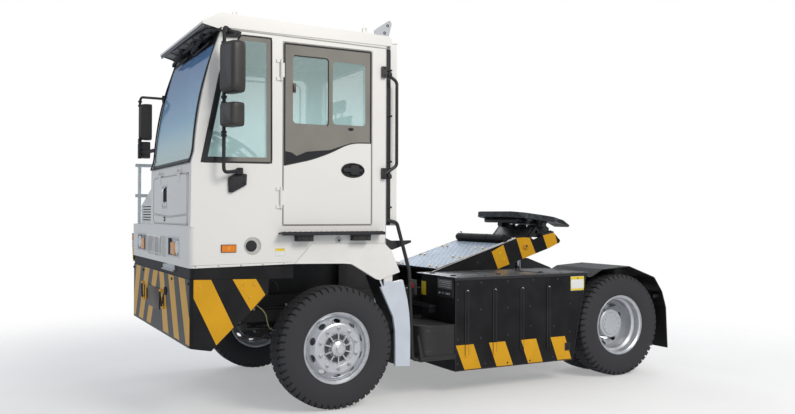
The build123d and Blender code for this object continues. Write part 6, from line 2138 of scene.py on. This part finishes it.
class TRACTOR_OT_stage(bpy.types.Operator):
    """Make the floor, the lights, the world and the camera"""

    bl_idname = "tractor.stage"
    bl_label = "Stage"

    def execute(self, context):
        floor = self.floor(context)
        for name, place, size, power, colour in LIGHTS:
            light = bpy.data.lights.new(name, "AREA")
            light.energy = power
            light.color = colour
            light.size = size
            holder = bpy.data.objects.new(name, light)
            holder.location = FROM_DATUM @ Vector(place)
            target = FROM_DATUM @ Vector((0, 1200, 1100))
            holder.rotation_euler = (target - holder.location).to_track_quat("-Z", "Y").to_euler()
            context.scene.collection.objects.link(holder)
        self.world(context)
        self.camera(context)
        context.scene.view_settings.view_transform = "Standard"
        return {"FINISHED"}

    def floor(self, context):
        shell = bmesh.new()
        bmesh.ops.create_grid(shell, x_segments=1, y_segments=1, size=40.0)
        mesh = bpy.data.meshes.new("floor")
        shell.to_mesh(mesh)
        shell.free()
        floor = bpy.data.objects.new("floor", mesh)
        context.scene.collection.objects.link(floor)
        finish = Finish("floor")
        tone = finish.mix(finish.noise(900, 3.0).step(0.3, 0.7), (0.86, 0.86, 0.86), (0.89, 0.89, 0.89))
        along = finish.y - 1300
        away = (finish.x * finish.x + along * along).math("SQRT")
        mesh.materials.append(finish.set(Base_Color=tone, Roughness=0.9, Alpha=away.step(7200, 3300) * 0.68))
        return floor

    def world(self, context):
        """A pale studio: brighter overhead, and plain white where the camera sees it."""
        world = bpy.data.worlds.new("studio")
        world.use_nodes = True
        nodes, links = world.node_tree.nodes, world.node_tree.links
        light = nodes["Background"]
        light.inputs[0].default_value = (0.88, 0.93, 1.0, 1)
        light.inputs[1].default_value = 0.46
        seen = nodes.new("ShaderNodeBackground")
        seen.inputs[0].default_value = (1, 1, 1, 1)
        path = nodes.new("ShaderNodeLightPath")
        both = nodes.new("ShaderNodeMixShader")
        links.new(path.outputs["Is Camera Ray"], both.inputs[0])
        links.new(light.outputs[0], both.inputs[1])
        links.new(seen.outputs[0], both.inputs[2])
        links.new(both.outputs[0], nodes["World Output"].inputs[0])
        context.scene.world = world

    def camera(self, context):
        camera = bpy.data.cameras.new("camera")
        camera.lens = LENS
        camera.sensor_width = SENSOR
        camera.clip_end = 200
        holder = bpy.data.objects.new("camera", camera)
        flat = Vector((-math.sin(CAMERA_TURN), math.cos(CAMERA_TURN), 0))
        ahead = flat * math.cos(CAMERA_PITCH) + Vector((0, 0, math.sin(CAMERA_PITCH)))
        right = Vector((math.cos(CAMERA_TURN), math.sin(CAMERA_TURN), 0))
        up = right.cross(ahead)
        side = math.cos(CAMERA_ROLL) * right + math.sin(CAMERA_ROLL) * up
        top = math.cos(CAMERA_ROLL) * up - math.sin(CAMERA_ROLL) * right
        axes = Matrix((side, top, -ahead)).transposed().to_4x4()
        axes.translation = FROM_DATUM @ Vector(CAMERA_AT)
        holder.matrix_world = axes
        context.scene.collection.objects.link(holder)
        context.scene.camera = holder


class TRACTOR_PT_finish(bpy.types.Panel):
    """The tractor's pieces, in the order that they are made"""

    bl_label = "Tractor"
    bl_space_type = "VIEW_3D"
    bl_region_type = "UI"
    bl_category = "Tractor"

    def draw(self, context):
        for name in ("body", "black", "stripe", "frit_painted_reflection"):
            self.layout.prop(context.scene.tractor_colours, name)
        for operator in OPERATORS:
            self.layout.operator(operator.bl_idname)


OPERATORS = (
    TRACTOR_OT_paint, TRACTOR_OT_tyres, TRACTOR_OT_wheel_trim, TRACTOR_OT_front, TRACTOR_OT_cab_trim,
    TRACTOR_OT_door_trim, TRACTOR_OT_mirror_heads, TRACTOR_OT_boxes, TRACTOR_OT_boom_fittings,
    TRACTOR_OT_coupling, TRACTOR_OT_tail, TRACTOR_OT_seat, TRACTOR_OT_cab_inside, TRACTOR_OT_under,
    TRACTOR_OT_stage,
)
GROUPS = (TractorColours,)


def register():
    for group in GROUPS:
        bpy.utils.register_class(group)
    bpy.types.Scene.tractor_colours = PointerProperty(type=TractorColours)
    for operator in (*OPERATORS, TRACTOR_PT_finish):
        bpy.utils.register_class(operator)


def unregister():
    for operator in (TRACTOR_PT_finish, *reversed(OPERATORS)):
        bpy.utils.unregister_class(operator)
    del bpy.types.Scene.tractor_colours
    for group in reversed(GROUPS):
        bpy.utils.unregister_class(group)


def main():
    register()
    for operator in OPERATORS:
        group, name = operator.bl_idname.split(".")
        getattr(getattr(bpy.ops, group), name)()


if __name__ == "__main__":
    main()
